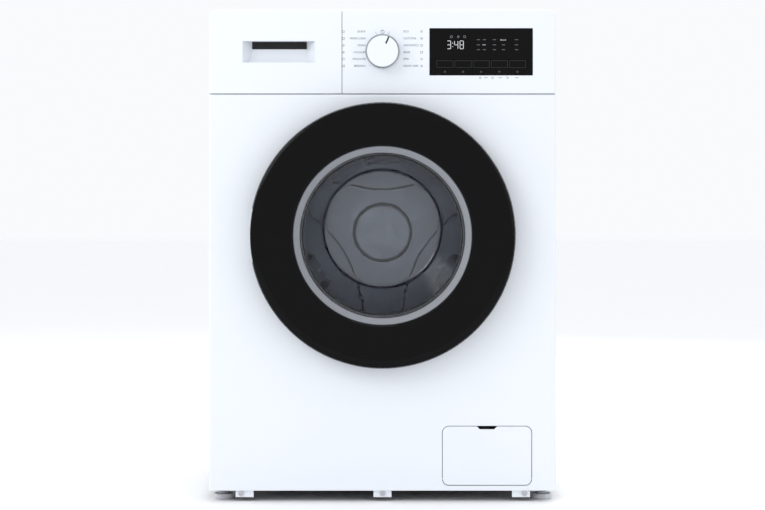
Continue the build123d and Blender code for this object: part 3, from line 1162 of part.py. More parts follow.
with BuildPart() as inlet_valve:
    block(SPOUT_X - 22, SPOUT_X + 22, VALVE_START, PANEL_BACK - BODY_GAP, SPOUT_Z - 20, SPOUT_Z + 20)
    rod(SPOUT_X, SPOUT_Z, SPOUT_R + SHOULDER_RISE, PANEL_BACK - BODY_GAP, CABINET_DEPTH + SHOULDER_PROUD)
    rod(SPOUT_X, SPOUT_Z, SPOUT_R, CABINET_DEPTH + SHOULDER_PROUD, CABINET_DEPTH + SPOUT_PROUD)
    rod(SPOUT_X, SPOUT_Z, SPOUT_R - 3.5, CABINET_DEPTH, CABINET_DEPTH + SPOUT_PROUD, Mode.SUBTRACT)
    post(SPOUT_X, VALVE_START + 20, 13, SPOUT_Z + 20, SPOUT_Z + 44)
    rod(SPOUT_X, SPOUT_Z - 10, HOSE_SPIGOT_R, VALVE_START - 12, VALVE_START)
save(inlet_valve, "inlet_valve")


def tube(radius, bore, path_points, radii):
    """A hose: straight runs joined by tangent arcs."""
    with BuildLine() as route:
        FilletPolyline(*[(x, Y_FRONT + depth, z) for x, depth, z in path_points], radius=radii)
    with BuildSketch(Plane(origin=route.line @ 0, z_dir=route.line % 0)) as section:
        Circle(radius)
        Circle(bore, mode=Mode.SUBTRACT)
    sweep(section.sketch, path=route.line)


with BuildPart() as water_hoses:
    # cold water, from the valve to the dispenser
    tube(8, HOSE_SPIGOT_R + SLIDE_FIT, [
        (SPOUT_X, VALVE_START - 1, SPOUT_Z - 10), (SPOUT_X, VALVE_START - 45, SPOUT_Z - 10),
        (SPOUT_X, HOUSING_END + 50, HOSE_JOINT_Z), (SPOUT_X, HOUSING_END + 1, HOSE_JOINT_Z),
    ], [40, 40])
    # drain, from the pump along the base and up to the rear outlet
    tube(DRAIN_HOSE_R, DRAIN_SPIGOT_R + SLIDE_FIT, [
        (DRAIN_START_X - 15, DRAIN_DEPTH, SERVICE_Z), (OUTLET_X, DRAIN_DEPTH, SERVICE_Z),
        (OUTLET_X, RISER_DEPTH, SERVICE_Z + 12), (OUTLET_X, RISER_DEPTH, OUTLET_Z),
        (OUTLET_X, OUTLET_START + 7, OUTLET_Z),
    ], [26, 50, 26])
    # the spigot that a household drain hose is clipped to
    rod(OUTLET_X, OUTLET_Z, OUTLET_R, OUTLET_START, CABINET_DEPTH + SPOUT_PROUD)
    rod(OUTLET_X, OUTLET_Z, OUTLET_R + SHOULDER_RISE, OUTLET_START + 7, CABINET_DEPTH + SHOULDER_PROUD)
    rod(OUTLET_X, OUTLET_Z, OUTLET_R - 3, OUTLET_START, CABINET_DEPTH + SPOUT_PROUD, Mode.SUBTRACT)
save(water_hoses, "water_hoses")

HOSE_LAP = 10.0

with BuildPart() as tub_hoses:
    with BuildSketch(Plane(origin=(FILL_X, Y_FRONT + FILL_DEPTH, TUB_SPIGOT_TOP - HOSE_LAP))):
        Circle(SPIGOT_R + 3)
        Circle(SPIGOT_R + 2 * SLIDE_FIT, mode=Mode.SUBTRACT)
    extrude(amount=HOUSING_Z0 - 1 - TUB_SPIGOT_TOP + HOSE_LAP)
    tube(SUMP_HOSE_R, SUMP_BORE_R, [
        (SUMP_TUB_X, SUMP_TUB_DEPTH, SUMP_TUB_END + HOSE_LAP),
        (SUMP_TUB_X, SUMP_TUB_DEPTH, SUMP_TUB_END - 14),
        (SERVICE_X, SUMP_PUMP_DEPTH, SUMP_PUMP_TOP + 12),
        (SERVICE_X, SUMP_PUMP_DEPTH, SUMP_PUMP_TOP - HOSE_LAP),
    ], [24, 24])
save(tub_hoses, "tub_hoses")

# ---------------------------------------------------------------- door gasket

with BuildPart() as door_gasket:
    with BuildSketch(axial_plane()):
        closed_outline(
            (GLASS_R + 4.5, 10), (PORTHOLE_R - SHEET - 4, 3), (PORTHOLE_R - SHEET - 0.2, 3),
            (PORTHOLE_R - SHEET - 0.2, 40), (TUB_MOUTH_R + 12, 48), (TUB_MOUTH_R + 12, 60),
            (TUB_MOUTH_R + 2, 70), (TUB_MOUTH_R + 8, 82), (TUB_MOUTH_R + 8, 92), (TUB_MOUTH_R + 4.3, 92),
            (TUB_MOUTH_R + 4.3, 83.7), (TUB_MOUTH_R - 0.6, 83.7), (TUB_MOUTH_R - 0.6, 70),
            (TUB_MOUTH_R + 8, 59),
            (TUB_MOUTH_R + 8, 51), (PORTHOLE_R - SHEET - 4, 43), (PORTHOLE_R - SHEET - 4, 15),
            (GLASS_R + 4.5, 13),
        )
    revolve(axis=DRUM_AXIS)
save(door_gasket, "door_gasket")

# ---------------------------------------------------------------- door

FACE_DEPTH = -DOOR_PROUD
RING_WALL = 3.0
DOOR_BACK = -3.0
FRAME_PLATE = 2.5
FRAME_R = DOOR_R - 17.0
POCKET_X = HINGE_X + 56.0
POCKET_HALF = 46.0
POCKET_DEPTH = -29.5
BEZEL_DEPTH = -13.0
HOOK_HALF = 15.0
HOOK_PIN_DEPTH = -12.0
HOOK_PIN_R = 2.5
TRIM_R = DOOR_R - 5.5

with BuildPart() as door_trim_ring:
    with BuildSketch(axial_plane()):
        with Locations((TRIM_R, FACE_DEPTH + 6.6)):
            Rectangle(1.8, 2.4, rotation=-42)
    revolve(axis=DRUM_AXIS)
save(door_trim_ring, "door_trim_ring")

with BuildPart() as door_outer_ring:
    with BuildSketch(axial_plane()):
        with BuildLine():
            rim = Spline((DOOR_R - 14, DOOR_BACK), (DOOR_R - 3, DOOR_BACK - 6), (DOOR_R, -20),
                         (DOOR_R - 3, -30),
                         (DOOR_R - 15, FACE_DEPTH), tangents=[(1, 0), (-1, -0.1)])
            Polyline(rim @ 1, (WINDOW_R + 2, FACE_DEPTH + 4), (WINDOW_R, FACE_DEPTH + 6), (WINDOW_R, -24),
                     (WINDOW_R + RING_WALL, -24), (WINDOW_R + RING_WALL, FACE_DEPTH + 7),
                     (DOOR_R - 16, FACE_DEPTH + RING_WALL))
            inside = Spline((DOOR_R - 16, FACE_DEPTH + RING_WALL), (DOOR_R - 6, -28), (DOOR_R - 3.5, -20),
                            (DOOR_R - 6, -11), (DOOR_R - 15, -6.5))
            Polyline(inside @ 1, (DOOR_R - 16.5, -6.5), (DOOR_R - 16.5, DOOR_BACK), rim @ 0)
        make_face()
    revolve(axis=DRUM_AXIS)
    block(HINGE_X - 20, POCKET_X, POCKET_DEPTH, 0, AXIS_Z - POCKET_HALF, AXIS_Z + POCKET_HALF,
          Mode.SUBTRACT)
    add(door_trim_ring.part, mode=Mode.SUBTRACT)
save(door_outer_ring, "door_outer_ring")

with BuildPart() as window_bezel:
    with BuildSketch(axial_plane()):
        closed_outline((GLASS_R, BEZEL_DEPTH), (WINDOW_R - 0.3, FACE_DEPTH + 9),
                       (WINDOW_R - 0.3, FACE_DEPTH + 11.5),
                       (GLASS_R + 1.5, BEZEL_DEPTH + 0.8), (GLASS_R, BEZEL_DEPTH + 0.8))
    revolve(axis=DRUM_AXIS)
save(window_bezel, "window_bezel")

FLANGE_FRONT = BEZEL_DEPTH + 1.0
FLANGE_BACK = DOOR_BACK - FRAME_PLATE - 0.1


def bowl(shrink, end, rounding):
    """The tapered bowl, made smaller all round by shrink."""
    share = (end - FLANGE_FRONT) / (GLASS_DEEP - FLANGE_FRONT)
    with BuildPart() as shape:
        with BuildSketch(front_plane(FLANGE_FRONT, 0, AXIS_Z)):
            Circle(GLASS_R - shrink)
        with BuildSketch(front_plane(end, 0, AXIS_Z + GLASS_LIFT * share)):
            Circle(GLASS_R - shrink - (GLASS_R - GLASS_DEEP_R) * share)
        loft()
        fillet(shape.faces().sort_by(Axis.Y)[-1].edges(), rounding)
    return shape.part


bowl_outside = bowl(0, GLASS_DEEP, 14)
bowl_inside = bowl(GLASS_WALL, GLASS_DEEP - GLASS_WALL, 10)

with BuildPart() as door_glass:
    add(bowl_outside)
    rod(0, AXIS_Z, GLASS_R + 9, FLANGE_FRONT, FLANGE_BACK)
    add(bowl_inside, mode=Mode.SUBTRACT)
save(door_glass, "door_glass")

HOOK_SLOT_X0 = HOOK_X - 14.0
HOOK_SLOT_X1 = HOOK_X + 9.0

with BuildPart() as door_inner_frame:
    with BuildSketch(axial_plane()):
        closed_outline(
            (GLASS_R + 1.3, DOOR_BACK), (FRAME_R, DOOR_BACK), (FRAME_R, DOOR_BACK - FRAME_PLATE),
            (GLASS_R + 12.5, DOOR_BACK - FRAME_PLATE), (GLASS_R + 12.5, FACE_DEPTH + 17),
            (GLASS_R + 10, FACE_DEPTH + 18.5), (GLASS_R + 10, DOOR_BACK - FRAME_PLATE),
            (GLASS_R + 1.3, DOOR_BACK - FRAME_PLATE),
        )
    revolve(axis=DRUM_AXIS)
    block(HINGE_X - 20, POCKET_X, POCKET_DEPTH, 0, AXIS_Z - POCKET_HALF, AXIS_Z + POCKET_HALF,
          Mode.SUBTRACT)
    block(POCKET_X - 0.5, POCKET_X + 2.5, POCKET_DEPTH, DOOR_BACK, AXIS_Z - KNUCKLE_HALF,
          AXIS_Z + KNUCKLE_HALF)
    block(POCKET_X, POCKET_X + 7, POCKET_DEPTH + 7, DOOR_BACK, AXIS_Z - KNUCKLE_HALF, AXIS_Z + KNUCKLE_HALF)
    block(HINGE_X, POCKET_X + 2, POCKET_DEPTH, HINGE_DEPTH - 3, AXIS_Z - KNUCKLE_HALF,
          AXIS_Z + KNUCKLE_HALF)
    post(HINGE_X, HINGE_DEPTH, KNUCKLE_R, AXIS_Z - KNUCKLE_HALF, AXIS_Z + KNUCKLE_HALF)
    block(HOOK_SLOT_X0, HOOK_SLOT_X1, DOOR_BACK - FRAME_PLATE, DOOR_BACK, AXIS_Z - 21.5, AXIS_Z + 21.5,
          Mode.SUBTRACT)
    for side in (-1, 1):
        z = AXIS_Z + side * 20
        block(HOOK_X - 6, HOOK_X + 6, HOOK_PIN_DEPTH - 5, DOOR_BACK, z - 2.5, z + 2.5)
        block(HOOK_X - 6, HOOK_X + 6, DOOR_BACK - FRAME_PLATE, DOOR_BACK, *sorted((z, z + side * 3)))
    post(HOOK_X, HOOK_PIN_DEPTH, HOOK_PIN_R + PIN_PLAY, AXIS_Z - 23, AXIS_Z + 23, Mode.SUBTRACT)
    post(HINGE_X, HINGE_DEPTH, HINGE_PIN_R + HINGE_PIN_PLAY, AXIS_Z - KNUCKLE_HALF, AXIS_Z + KNUCKLE_HALF,
         Mode.SUBTRACT)
save(door_inner_frame, "door_inner_frame")

EAR_GAP = 0.6
PLATE_HALF = 45.0
PLATE_X0 = HINGE_X + 11.0
PLATE_X1 = HINGE_X + 46.0

with BuildPart() as hinge_bracket:
    block(PLATE_X0, PLATE_X1, -2.5, 0, AXIS_Z - PLATE_HALF, AXIS_Z + PLATE_HALF)
    for side in (-1, 1):
        z0 = AXIS_Z + side * (KNUCKLE_HALF + EAR_GAP)
        z1 = z0 + side * EAR_THICK
        low, high = sorted((z0, z1))
        with BuildSketch(Plane.XY.offset(low)):
            with Locations((HINGE_X, Y_FRONT + HINGE_DEPTH)):
                Circle(KNUCKLE_R)
            with Locations(((PLATE_X0 + PLATE_X1) / 2, Y_FRONT - 1.4)):
                Rectangle(PLATE_X1 - PLATE_X0 - 6, 2)
            make_hull()
        extrude(amount=high - low)
    post(HINGE_X, HINGE_DEPTH, HINGE_PIN_R, AXIS_Z - KNUCKLE_HALF - EAR_GAP - 4,
         AXIS_Z + KNUCKLE_HALF + EAR_GAP + 4)
save(hinge_bracket, "hinge_bracket")

with BuildPart() as latch_hook:
    with BuildSketch(Plane(origin=(HOOK_X, Y_FRONT, AXIS_Z - HOOK_HALF))):
        closed_outline((-3, HOOK_PIN_DEPTH - 4), (3, HOOK_PIN_DEPTH - 4), (3, 20), (0, 23), (-9, 15),
                       (-9, 12),
                       (-3, 12))
    extrude(amount=2 * HOOK_HALF)
    post(HOOK_X, HOOK_PIN_DEPTH, HOOK_PIN_R, AXIS_Z - 22, AXIS_Z + 22)
save(latch_hook, "latch_hook")

LOCK_START = SHEET + 0.5

with BuildPart() as door_lock:
    block(SLOT_X - 17, SLOT_X + 21, LOCK_START, 36, AXIS_Z - 34, AXIS_Z + 46)
    block(SLOT_X - SLOT_W / 2, SLOT_X + SLOT_W / 2, LOCK_START, 30, AXIS_Z - 18, AXIS_Z + 18, Mode.SUBTRACT)
    fillet(door_lock.edges().filter_by(Axis.Y).group_by(Axis.Z)[-1], 4)
save(door_lock, "door_lock")
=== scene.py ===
import json
import math

import bpy
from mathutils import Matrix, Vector


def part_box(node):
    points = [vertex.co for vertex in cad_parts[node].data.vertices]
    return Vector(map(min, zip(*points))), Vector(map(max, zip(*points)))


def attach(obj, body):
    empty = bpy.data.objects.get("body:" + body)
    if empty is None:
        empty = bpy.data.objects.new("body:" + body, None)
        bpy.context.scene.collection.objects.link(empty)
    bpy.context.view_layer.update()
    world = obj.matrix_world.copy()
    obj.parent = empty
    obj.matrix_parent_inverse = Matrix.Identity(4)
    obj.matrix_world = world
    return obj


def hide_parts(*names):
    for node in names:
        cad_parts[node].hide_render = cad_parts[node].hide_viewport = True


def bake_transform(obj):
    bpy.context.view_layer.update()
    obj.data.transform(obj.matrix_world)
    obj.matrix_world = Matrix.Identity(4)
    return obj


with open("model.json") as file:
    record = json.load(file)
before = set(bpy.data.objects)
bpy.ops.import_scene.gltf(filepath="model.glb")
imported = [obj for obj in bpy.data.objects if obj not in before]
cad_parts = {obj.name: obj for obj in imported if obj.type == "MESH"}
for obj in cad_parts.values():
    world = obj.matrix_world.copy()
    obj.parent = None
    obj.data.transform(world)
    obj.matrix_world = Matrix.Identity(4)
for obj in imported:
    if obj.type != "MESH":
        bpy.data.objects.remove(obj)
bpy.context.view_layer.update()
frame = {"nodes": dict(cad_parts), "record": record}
nodes = frame["nodes"]

# Places on the machine, in metres
FACE_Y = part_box("front_panel")[0].y
AXIS_Z = (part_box("door_trim_ring")[0].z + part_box("door_trim_ring")[1].z) / 2
KNOB_Z = (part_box("program_knob")[0].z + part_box("program_knob")[1].z) / 2
DISPLAY_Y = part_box("display_window")[0].y
MM = 0.001


# ---------------------------------------------------------------- finishes

class Value:
    """One number that changes over a surface. Arithmetic on it adds Math nodes."""

    def __init__(self, finish, socket):
        self.finish = finish
        self.socket = socket

    def maths(self, operation, *others):
        inputs = [self, *others]
        return self.finish.node("ShaderNodeMath", "Value", dict(enumerate(inputs)), operation=operation)

    def __add__(self, other):
        return self.maths("ADD", other)

    __radd__ = __add__

    def __mul__(self, other):
        return self.maths("MULTIPLY", other)

    __rmul__ = __mul__

    def __sub__(self, other):
        return self.maths("SUBTRACT", other)

    def __rsub__(self, other):
        return self.finish.node("ShaderNodeMath", "Value", {0: other, 1: self}, operation="SUBTRACT")

    def above(self, limit):
        return self.maths("GREATER_THAN", limit)


class Finish:
    """A material, and the one way in which nodes are added to it."""

    def __init__(self, name, colour, roughness, **uniform):
        self.material = bpy.data.materials.new(name)
        self.material.use_nodes = True
        self.tree = self.material.node_tree
        self.shader = self.tree.nodes["Principled BSDF"]
        self.set(base_color=(*colour, 1), roughness=roughness, **uniform)
        self.colour = colour
        coordinates = self.tree.nodes.new("ShaderNodeTexCoord")
        self.place = Value(self, coordinates.outputs["Object"])

    def set(self, **values):
        for name, value in values.items():
            self.feed(self.shader.inputs[name.replace("_", " ").title().replace("Ior", "IOR")], value)

    def feed(self, socket, value):
        if isinstance(value, Value):
            self.tree.links.new(value.socket, socket)
        else:
            socket.default_value = value

    def node(self, kind, output, inputs, stops=None, **settings):
        made = self.tree.nodes.new(kind)
        for name, setting in settings.items():
            setattr(made, name, setting)
        if stops:
            ramp = made.color_ramp
            while len(ramp.elements) < len(stops):
                ramp.elements.new(0.5)
            for element, (position, colour) in zip(ramp.elements, stops):
                element.position = position
                element.color = (*colour, 1)
        for name, value in inputs.items():
            self.feed(made.inputs[name], value)
        return Value(self, made.outputs[output])

    def noise(self, scale, detail=3.0, stretch=(1, 1, 1), roughness=0.5):
        where = self.place
        if stretch != (1, 1, 1):
            where = self.node("ShaderNodeMapping", "Vector", {"Vector": self.place, "Scale": stretch})
        return self.node("ShaderNodeTexNoise", "Fac", {"Vector": where, "Scale": scale, "Detail": detail,
                                                      "Roughness": roughness})

    def cells(self, scale, output="Distance"):
        return self.node("ShaderNodeTexVoronoi", output, {"Vector": self.place, "Scale": scale})

    def blend(self, factor, first, second):
        """A colour between two, where a colour is three numbers or a value from another node."""
        inputs = {0: factor}
        for slot, colour in ((6, first), (7, second)):
            inputs[slot] = colour if isinstance(colour, Value) else (*colour, 1)
        return self.node("ShaderNodeMix", 2, inputs, data_type="RGBA")

    def bump(self, height, depth, strength=1.0):
        self.set(normal=self.node("ShaderNodeBump", "Normal", {"Height": height, "Distance": depth,
                                                              "Strength": strength}))

    def tint(self, factor, amount):
        """Lets the base colour drift by amount, up and down."""
        lighter = tuple(min(1, c * (1 + amount)) for c in self.colour)
        darker = tuple(c * (1 - amount) for c in self.colour)
        self.set(base_color=self.blend(factor, darker, lighter))


def coated(name, colour, roughness, grain, depth, drift=0.015, **uniform):
    """Paint or moulded plastic: a fine surface ripple, with a little drift in tone and shine."""
    finish = Finish(name, colour, roughness, **uniform)
    finish.tint(finish.noise(2.2, 2), drift)
    finish.set(roughness=finish.noise(14, 4) * 0.08 + (roughness - 0.04))
    finish.bump(finish.noise(grain, 2), depth)
    return finish.material


def sheet_metal(name, colour, roughness, stretch, depth=0.00003):
    """Drawn or turned metal, whose fine lines run across the stretched direction."""
    finish = Finish(name, colour, roughness, metallic=1.0)
    lines = finish.noise(60, 6, stretch)
    finish.tint(lines, 0.12)
    finish.set(roughness=lines * 0.25 + (roughness - 0.1))
    finish.bump(lines, depth)
    return finish.material


def zinc_sheet():
    finish = Finish("zinc_sheet", (0.52, 0.54, 0.56), 0.45, metallic=0.85)
    spangle = finish.cells(190, "Color")
    finish.tint(finish.node("ShaderNodeSeparateColor", "Red", {"Color": spangle}), 0.06)
    finish.set(roughness=finish.noise(50, 3) * 0.2 + 0.34)
    finish.bump(finish.noise(300, 2), 0.00002)
    return finish.material


def cast_concrete():
    finish = Finish("cast_concrete", (0.33, 0.33, 0.31), 0.9)
    pits = finish.cells(120)
    finish.tint(finish.noise(26, 8), 0.3)
    finish.bump(pits * 0.6 + finish.noise(160, 5), 0.0009)
    return finish.material


def piano_black():
    finish = Finish("piano_black", (0.0012, 0.0012, 0.0015), 0.06, coat_weight=0.04, coat_roughness=0.02,
                    specular_ior_level=0.1)
    haze = finish.noise(9, 5)
    finish.set(roughness=haze * 0.07 + 0.03)
    finish.tint(finish.noise(30, 2), 0.3)
    finish.bump(finish.noise(5, 1), 0.00004)
    return finish.material


def bowl_glass():
    finish = Finish("bowl_glass", (0.86, 0.89, 0.93), 0.02, transmission_weight=1.0, ior=1.46)
    finish.set(roughness=finish.noise(22, 3) * 0.03)
    finish.bump(finish.noise(34, 2), 0.00025)
    return finish.material


BAND_OUTER_R = 0.1526
BAND_INNER_R = 0.1426


def frosted_glass():
    finish = Finish("frosted_glass", (0.33, 0.345, 0.375), 0.4, coat_weight=0.2, coat_roughness=0.12)
    across = finish.node("ShaderNodeSeparateXYZ", "X", {"Vector": finish.place})
    up = finish.node("ShaderNodeSeparateXYZ", "Z", {"Vector": finish.place}) - AXIS_Z
    squared = across * across + up * up
    # a darker line along each edge of the band
    edge = squared.above(BAND_OUTER_R ** 2) + (1 - squared.above(BAND_INNER_R ** 2))
    body = finish.blend(finish.noise(50, 4), (0.31, 0.325, 0.355), (0.35, 0.365, 0.395))
    finish.set(base_color=finish.blend(edge, body, (0.05, 0.052, 0.06)))
    finish.bump(finish.noise(1400, 2), 0.00002)
    return finish.material


def lit_ink(name, colour, strength):
    finish = Finish(name, (0.02, 0.02, 0.02), 0.5, emission_strength=strength)
    finish.set(emission_color=finish.blend(finish.noise(300, 2), tuple(0.9 * c for c in colour), colour))
    return finish.material


def rubber(name, colour):
    finish = Finish(name, colour, 0.62, specular_ior_level=0.35)
    finish.tint(finish.noise(18, 5), 0.12)
    finish.set(roughness=finish.noise(80, 4) * 0.16 + 0.54)
    finish.bump(finish.noise(900, 2), 0.00005)
    return finish.material


WHITE = (0.80, 0.835, 0.885)
finishes = {
    "white_paint": coated("white_enamel", WHITE, 0.3, 420, 0.00003, coat_weight=0.25, coat_roughness=0.12),
    "white_plastic": coated("white_moulding", WHITE, 0.36, 900, 0.00002),
    "worktop_board": coated("white_laminate", WHITE, 0.42, 1500, 0.00002),
    "black_gloss": piano_black(),
    "chrome": sheet_metal("polished_chrome", (0.80, 0.82, 0.86), 0.2, (1, 1, 1), 0.00001),
    "frosted_ring": frosted_glass(),
    "dark_glass": bowl_glass(),
    "galvanised": zinc_sheet(),
    "drum_steel": sheet_metal("brushed_drum_steel", (0.30, 0.32, 0.36), 0.36, (1, 14, 1)),
    "aluminium": sheet_metal("cast_aluminium", (0.55, 0.56, 0.58), 0.5, (1, 1, 1), 0.0002),
    "grey_plastic": coated("fibre_filled_grey", (0.20, 0.21, 0.22), 0.55, 500, 0.00008, 0.06),
    "light_plastic": coated("natural_moulding", (0.60, 0.62, 0.65), 0.45, 700, 0.00003, 0.03),
    "black_plastic": coated("black_moulding", (0.018, 0.018, 0.02), 0.45, 800, 0.00004, 0.1),
    "grey_rubber": rubber("seal_rubber", (0.15, 0.155, 0.165)),
    "black_rubber": rubber("belt_rubber", (0.012, 0.012, 0.013)),
    "concrete": cast_concrete(),
    "steel": sheet_metal("bright_steel", (0.5, 0.51, 0.53), 0.34, (1, 1, 8)),
    "board_green": coated("circuit_board", (0.012, 0.09, 0.04), 0.4, 400, 0.0001, 0.2),
}
extra_finishes = {
    "print_grey": coated("print_grey", (0.035, 0.037, 0.045), 0.6, 900, 0.00001, 0.05),
    "print_pale": coated("print_pale", (0.16, 0.17, 0.19), 0.6, 900, 0.00001, 0.05),
    "satin_silver": sheet_metal("satin_silver", (0.86, 0.88, 0.92), 0.42, (1, 1, 1), 0.00001),
    "knob_silver": sheet_metal("knob_silver", (0.34, 0.35, 0.38), 0.35, (1, 1, 1), 0.00001),
    "mark_black": coated("mark_black", (0.01, 0.01, 0.011), 0.4, 900, 0.00001, 0.1),
    "digit_white": lit_ink("digit_white", (0.95, 0.97, 1.0), 1.1),
    "digit_dim": lit_ink("digit_dim", (0.25, 0.26, 0.28), 0.28),
    "digit_mid": lit_ink("digit_mid", (0.6, 0.62, 0.65), 0.5),
    # painted shade: a near-black finish laid where holes and pockets hold only shade
    "painted_shade_dark": coated("painted_shade_dark", (0.006, 0.006, 0.007), 0.7, 900, 0.00001, 0.1),
}

slot_of = {entry["node"]: entry["material_slot"] for entry in frame["record"]["subparts"]}
for name, node in nodes.items():
    node.data.materials.clear()
    node.data.materials.append(finishes[slot_of[name]])


# ---------------------------------------------------------------- modelling helpers

def deselect():
    if bpy.context.object and bpy.context.object.mode != "OBJECT":
        bpy.ops.object.mode_set(mode="OBJECT")
    bpy.ops.object.select_all(action="DESELECT")


def only(piece):
    deselect()
    piece.select_set(True)
    bpy.context.view_layer.objects.active = piece


def rest_at_origin(piece):
    only(piece)
    bpy.ops.object.transform_apply(location=True, rotation=True, scale=True)


def finish_piece(piece, name, material, body):
    """Names a piece, leaves its place in its mesh, paints it, and lets it ride on a body."""
    rest_at_origin(piece)
    piece.name = name
    piece.data.name = name
    piece.data.materials.clear()
    piece.data.materials.append(material)
    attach(piece, body)
    return piece


def joined(pieces):
    deselect()
    for piece in pieces:
        piece.select_set(True)
    bpy.context.view_layer.objects.active = pieces[0]
    bpy.ops.object.join()
    return pieces[0]


INK = 0.00012  # how thick print lies on a surface


def bar(x, z, width, height, y, turn=0.0):
    """A thin printed rectangle facing the user. Turn is clockwise, in degrees."""
    deselect()
    bpy.ops.mesh.primitive_cube_add(size=1, location=(x, y - INK / 2, z),
                                    rotation=(0, math.radians(turn), 0))
    piece = bpy.context.object
    piece.scale = (width, INK, height)
    rest_at_origin(piece)
    return piece


def line(x0, z0, x1, z1, width, y):
    """A thin printed line from one point to another."""
    length = math.hypot(x1 - x0, z1 - z0)
    turn = math.degrees(math.atan2(x1 - x0, z1 - z0))
    return bar((x0 + x1) / 2, (z0 + z1) / 2, width, length, y, turn)


def ring(x, z, radius, width, y, sides=24):
    """A thin printed ring facing the user."""
    deselect()
    bpy.ops.mesh.primitive_circle_add(vertices=sides, radius=radius, fill_type="NGON", location=(x, y, z),
                                      rotation=(math.pi / 2, 0, 0))
    piece = bpy.context.object
    rest_at_origin(piece)
    only(piece)
    bpy.ops.object.mode_set(mode="EDIT")
    bpy.ops.mesh.select_all(action="SELECT")
    bpy.ops.mesh.inset(thickness=width)
    bpy.ops.mesh.delete(type="FACE")
    bpy.ops.mesh.select_all(action="SELECT")
    bpy.ops.mesh.extrude_region_move(TRANSFORM_OT_translate={"value": (0, -INK, 0)})
    bpy.ops.mesh.select_all(action="SELECT")
    bpy.ops.mesh.normals_make_consistent(inside=False)
    bpy.ops.object.mode_set(mode="OBJECT")
    return piece


def dot(x, z, radius, y, sides=16):
    deselect()
    bpy.ops.mesh.primitive_cylinder_add(vertices=sides, radius=radius, depth=INK,
                                        location=(x, y - INK / 2, z), rotation=(math.pi / 2, 0, 0))
    piece = bpy.context.object
    rest_at_origin(piece)
    return piece


def words(text, x, z, size, y, align="LEFT", width=1.0):
    """Printed capitals. Z is the middle of their height."""
    deselect()
    bpy.ops.object.text_add(location=(x, y, z), rotation=(math.pi / 2, 0, 0))
    piece = bpy.context.object
    piece.data.body = text
    piece.data.size = size / 0.73
    piece.data.align_x = align
    piece.data.align_y = "CENTER"
    piece.data.extrude = INK / 2
    piece.data.space_character = width
    piece.data.resolution_u = 3
    bpy.ops.object.convert(target="MESH")
    piece = bpy.context.object
    rest_at_origin(piece)
    return piece


def turned(profile, sides, centre=(0, 0, AXIS_Z), upright=False):
    """A turned ring about the depth axis, or about an upright one.

    Profile is a closed list of (radius, place along the axis), walked by extruding and resizing a circle.
    """
    deselect()
    radius, along = profile[0]
    direction = Vector((0, 0, 1)) if upright else Vector((0, 1, 0))
    foot = Vector(centre) * 1.0
    foot[2 if upright else 1] = 0
    bpy.ops.mesh.primitive_circle_add(vertices=sides, radius=radius, location=foot + direction * along,
                                      rotation=(0 if upright else math.pi / 2, 0, 0))
    piece = bpy.context.object
    rest_at_origin(piece)
    bpy.ops.object.mode_set(mode="EDIT")
    bpy.ops.mesh.select_all(action="SELECT")
    for next_radius, next_along in profile[1:] + [profile[0]]:
        bpy.ops.mesh.extrude_edges_move(TRANSFORM_OT_translate={"value": direction * (next_along - along)})
        share = next_radius / radius
        bpy.ops.transform.resize(value=(share, share, 1) if upright else (share, 1, share),
                                 center_override=foot + direction * next_along)
        radius, along = next_radius, next_along
    bpy.ops.mesh.select_all(action="SELECT")
    bpy.ops.mesh.remove_doubles(threshold=0.00001)
    bpy.ops.mesh.normals_make_consistent(inside=False)
    bpy.ops.object.mode_set(mode="OBJECT")
    bpy.ops.object.shade_smooth_by_angle(angle=math.radians(35))
    return piece


def softened(piece, width, segments=3):
    """Rounds every sharp edge of a piece."""
    only(piece)
    bevel = piece.modifiers.new("soft_edges", "BEVEL")
    bevel.width = width
    bevel.segments = segments
    bevel.limit_method = "ANGLE"
    bevel.angle_limit = math.radians(28)
    bevel.use_clamp_overlap = True
    bpy.ops.object.modifier_apply(modifier=bevel.name)
    return piece


def copy_of(node, name):
    """A copy of a CAD piece for a soft part between two bodies, with doubled points merged and smooth
    shading.
    """
    original = nodes[node]
    piece = bpy.data.objects.new(name, original.data.copy())
    bpy.context.scene.collection.objects.link(piece)
    only(piece)
    bpy.ops.object.mode_set(mode="EDIT")
    bpy.ops.mesh.select_all(action="SELECT")
    bpy.ops.mesh.remove_doubles(threshold=0.000005)
    bpy.ops.object.mode_set(mode="OBJECT")
    bpy.ops.object.shade_smooth_by_angle(angle=math.radians(35))
    return piece


def bending(piece, name, slot, start, end, *replaced):
    """A soft piece between the cabinet and the hung tub."""
    rest_at_origin(piece)
    piece.name = name
    piece.data.name = name
    piece.data.materials.clear()
    piece.data.materials.append(finishes[slot])
    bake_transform(piece)
    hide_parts(*replaced)


# ---------------------------------------------------------------- studio

deselect()
bpy.ops.mesh.primitive_plane_add(size=60, location=(0, 0, 0))
floor = bpy.context.object
floor.name = "studio_floor"
floor_finish = Finish("studio_floor", (0.97, 0.975, 0.985), 0.7)
floor_finish.tint(floor_finish.noise(1.5, 3), 0.01)
floor.data.materials.append(floor_finish.material)

world = bpy.data.worlds.new("studio")
bpy.context.scene.world = world
world.use_nodes = True
world.node_tree.nodes["Background"].inputs["Color"].default_value = (0.97, 0.98, 1.0, 1)
world.node_tree.nodes["Background"].inputs["Strength"].default_value = 0.98


def softbox(name, place, target, width, height, power, colour=(1, 1, 1)):
    light = bpy.data.lights.new(name, "AREA")
    light.shape = "RECTANGLE"
    light.size = width
    light.size_y = height
    light.energy = power
    light.color = colour
    lamp = bpy.data.objects.new(name, light)
    bpy.context.scene.collection.objects.link(lamp)
    lamp.location = place
    lamp.rotation_euler = (Vector(target) - Vector(place)).to_track_quat("-Z", "Y").to_euler()


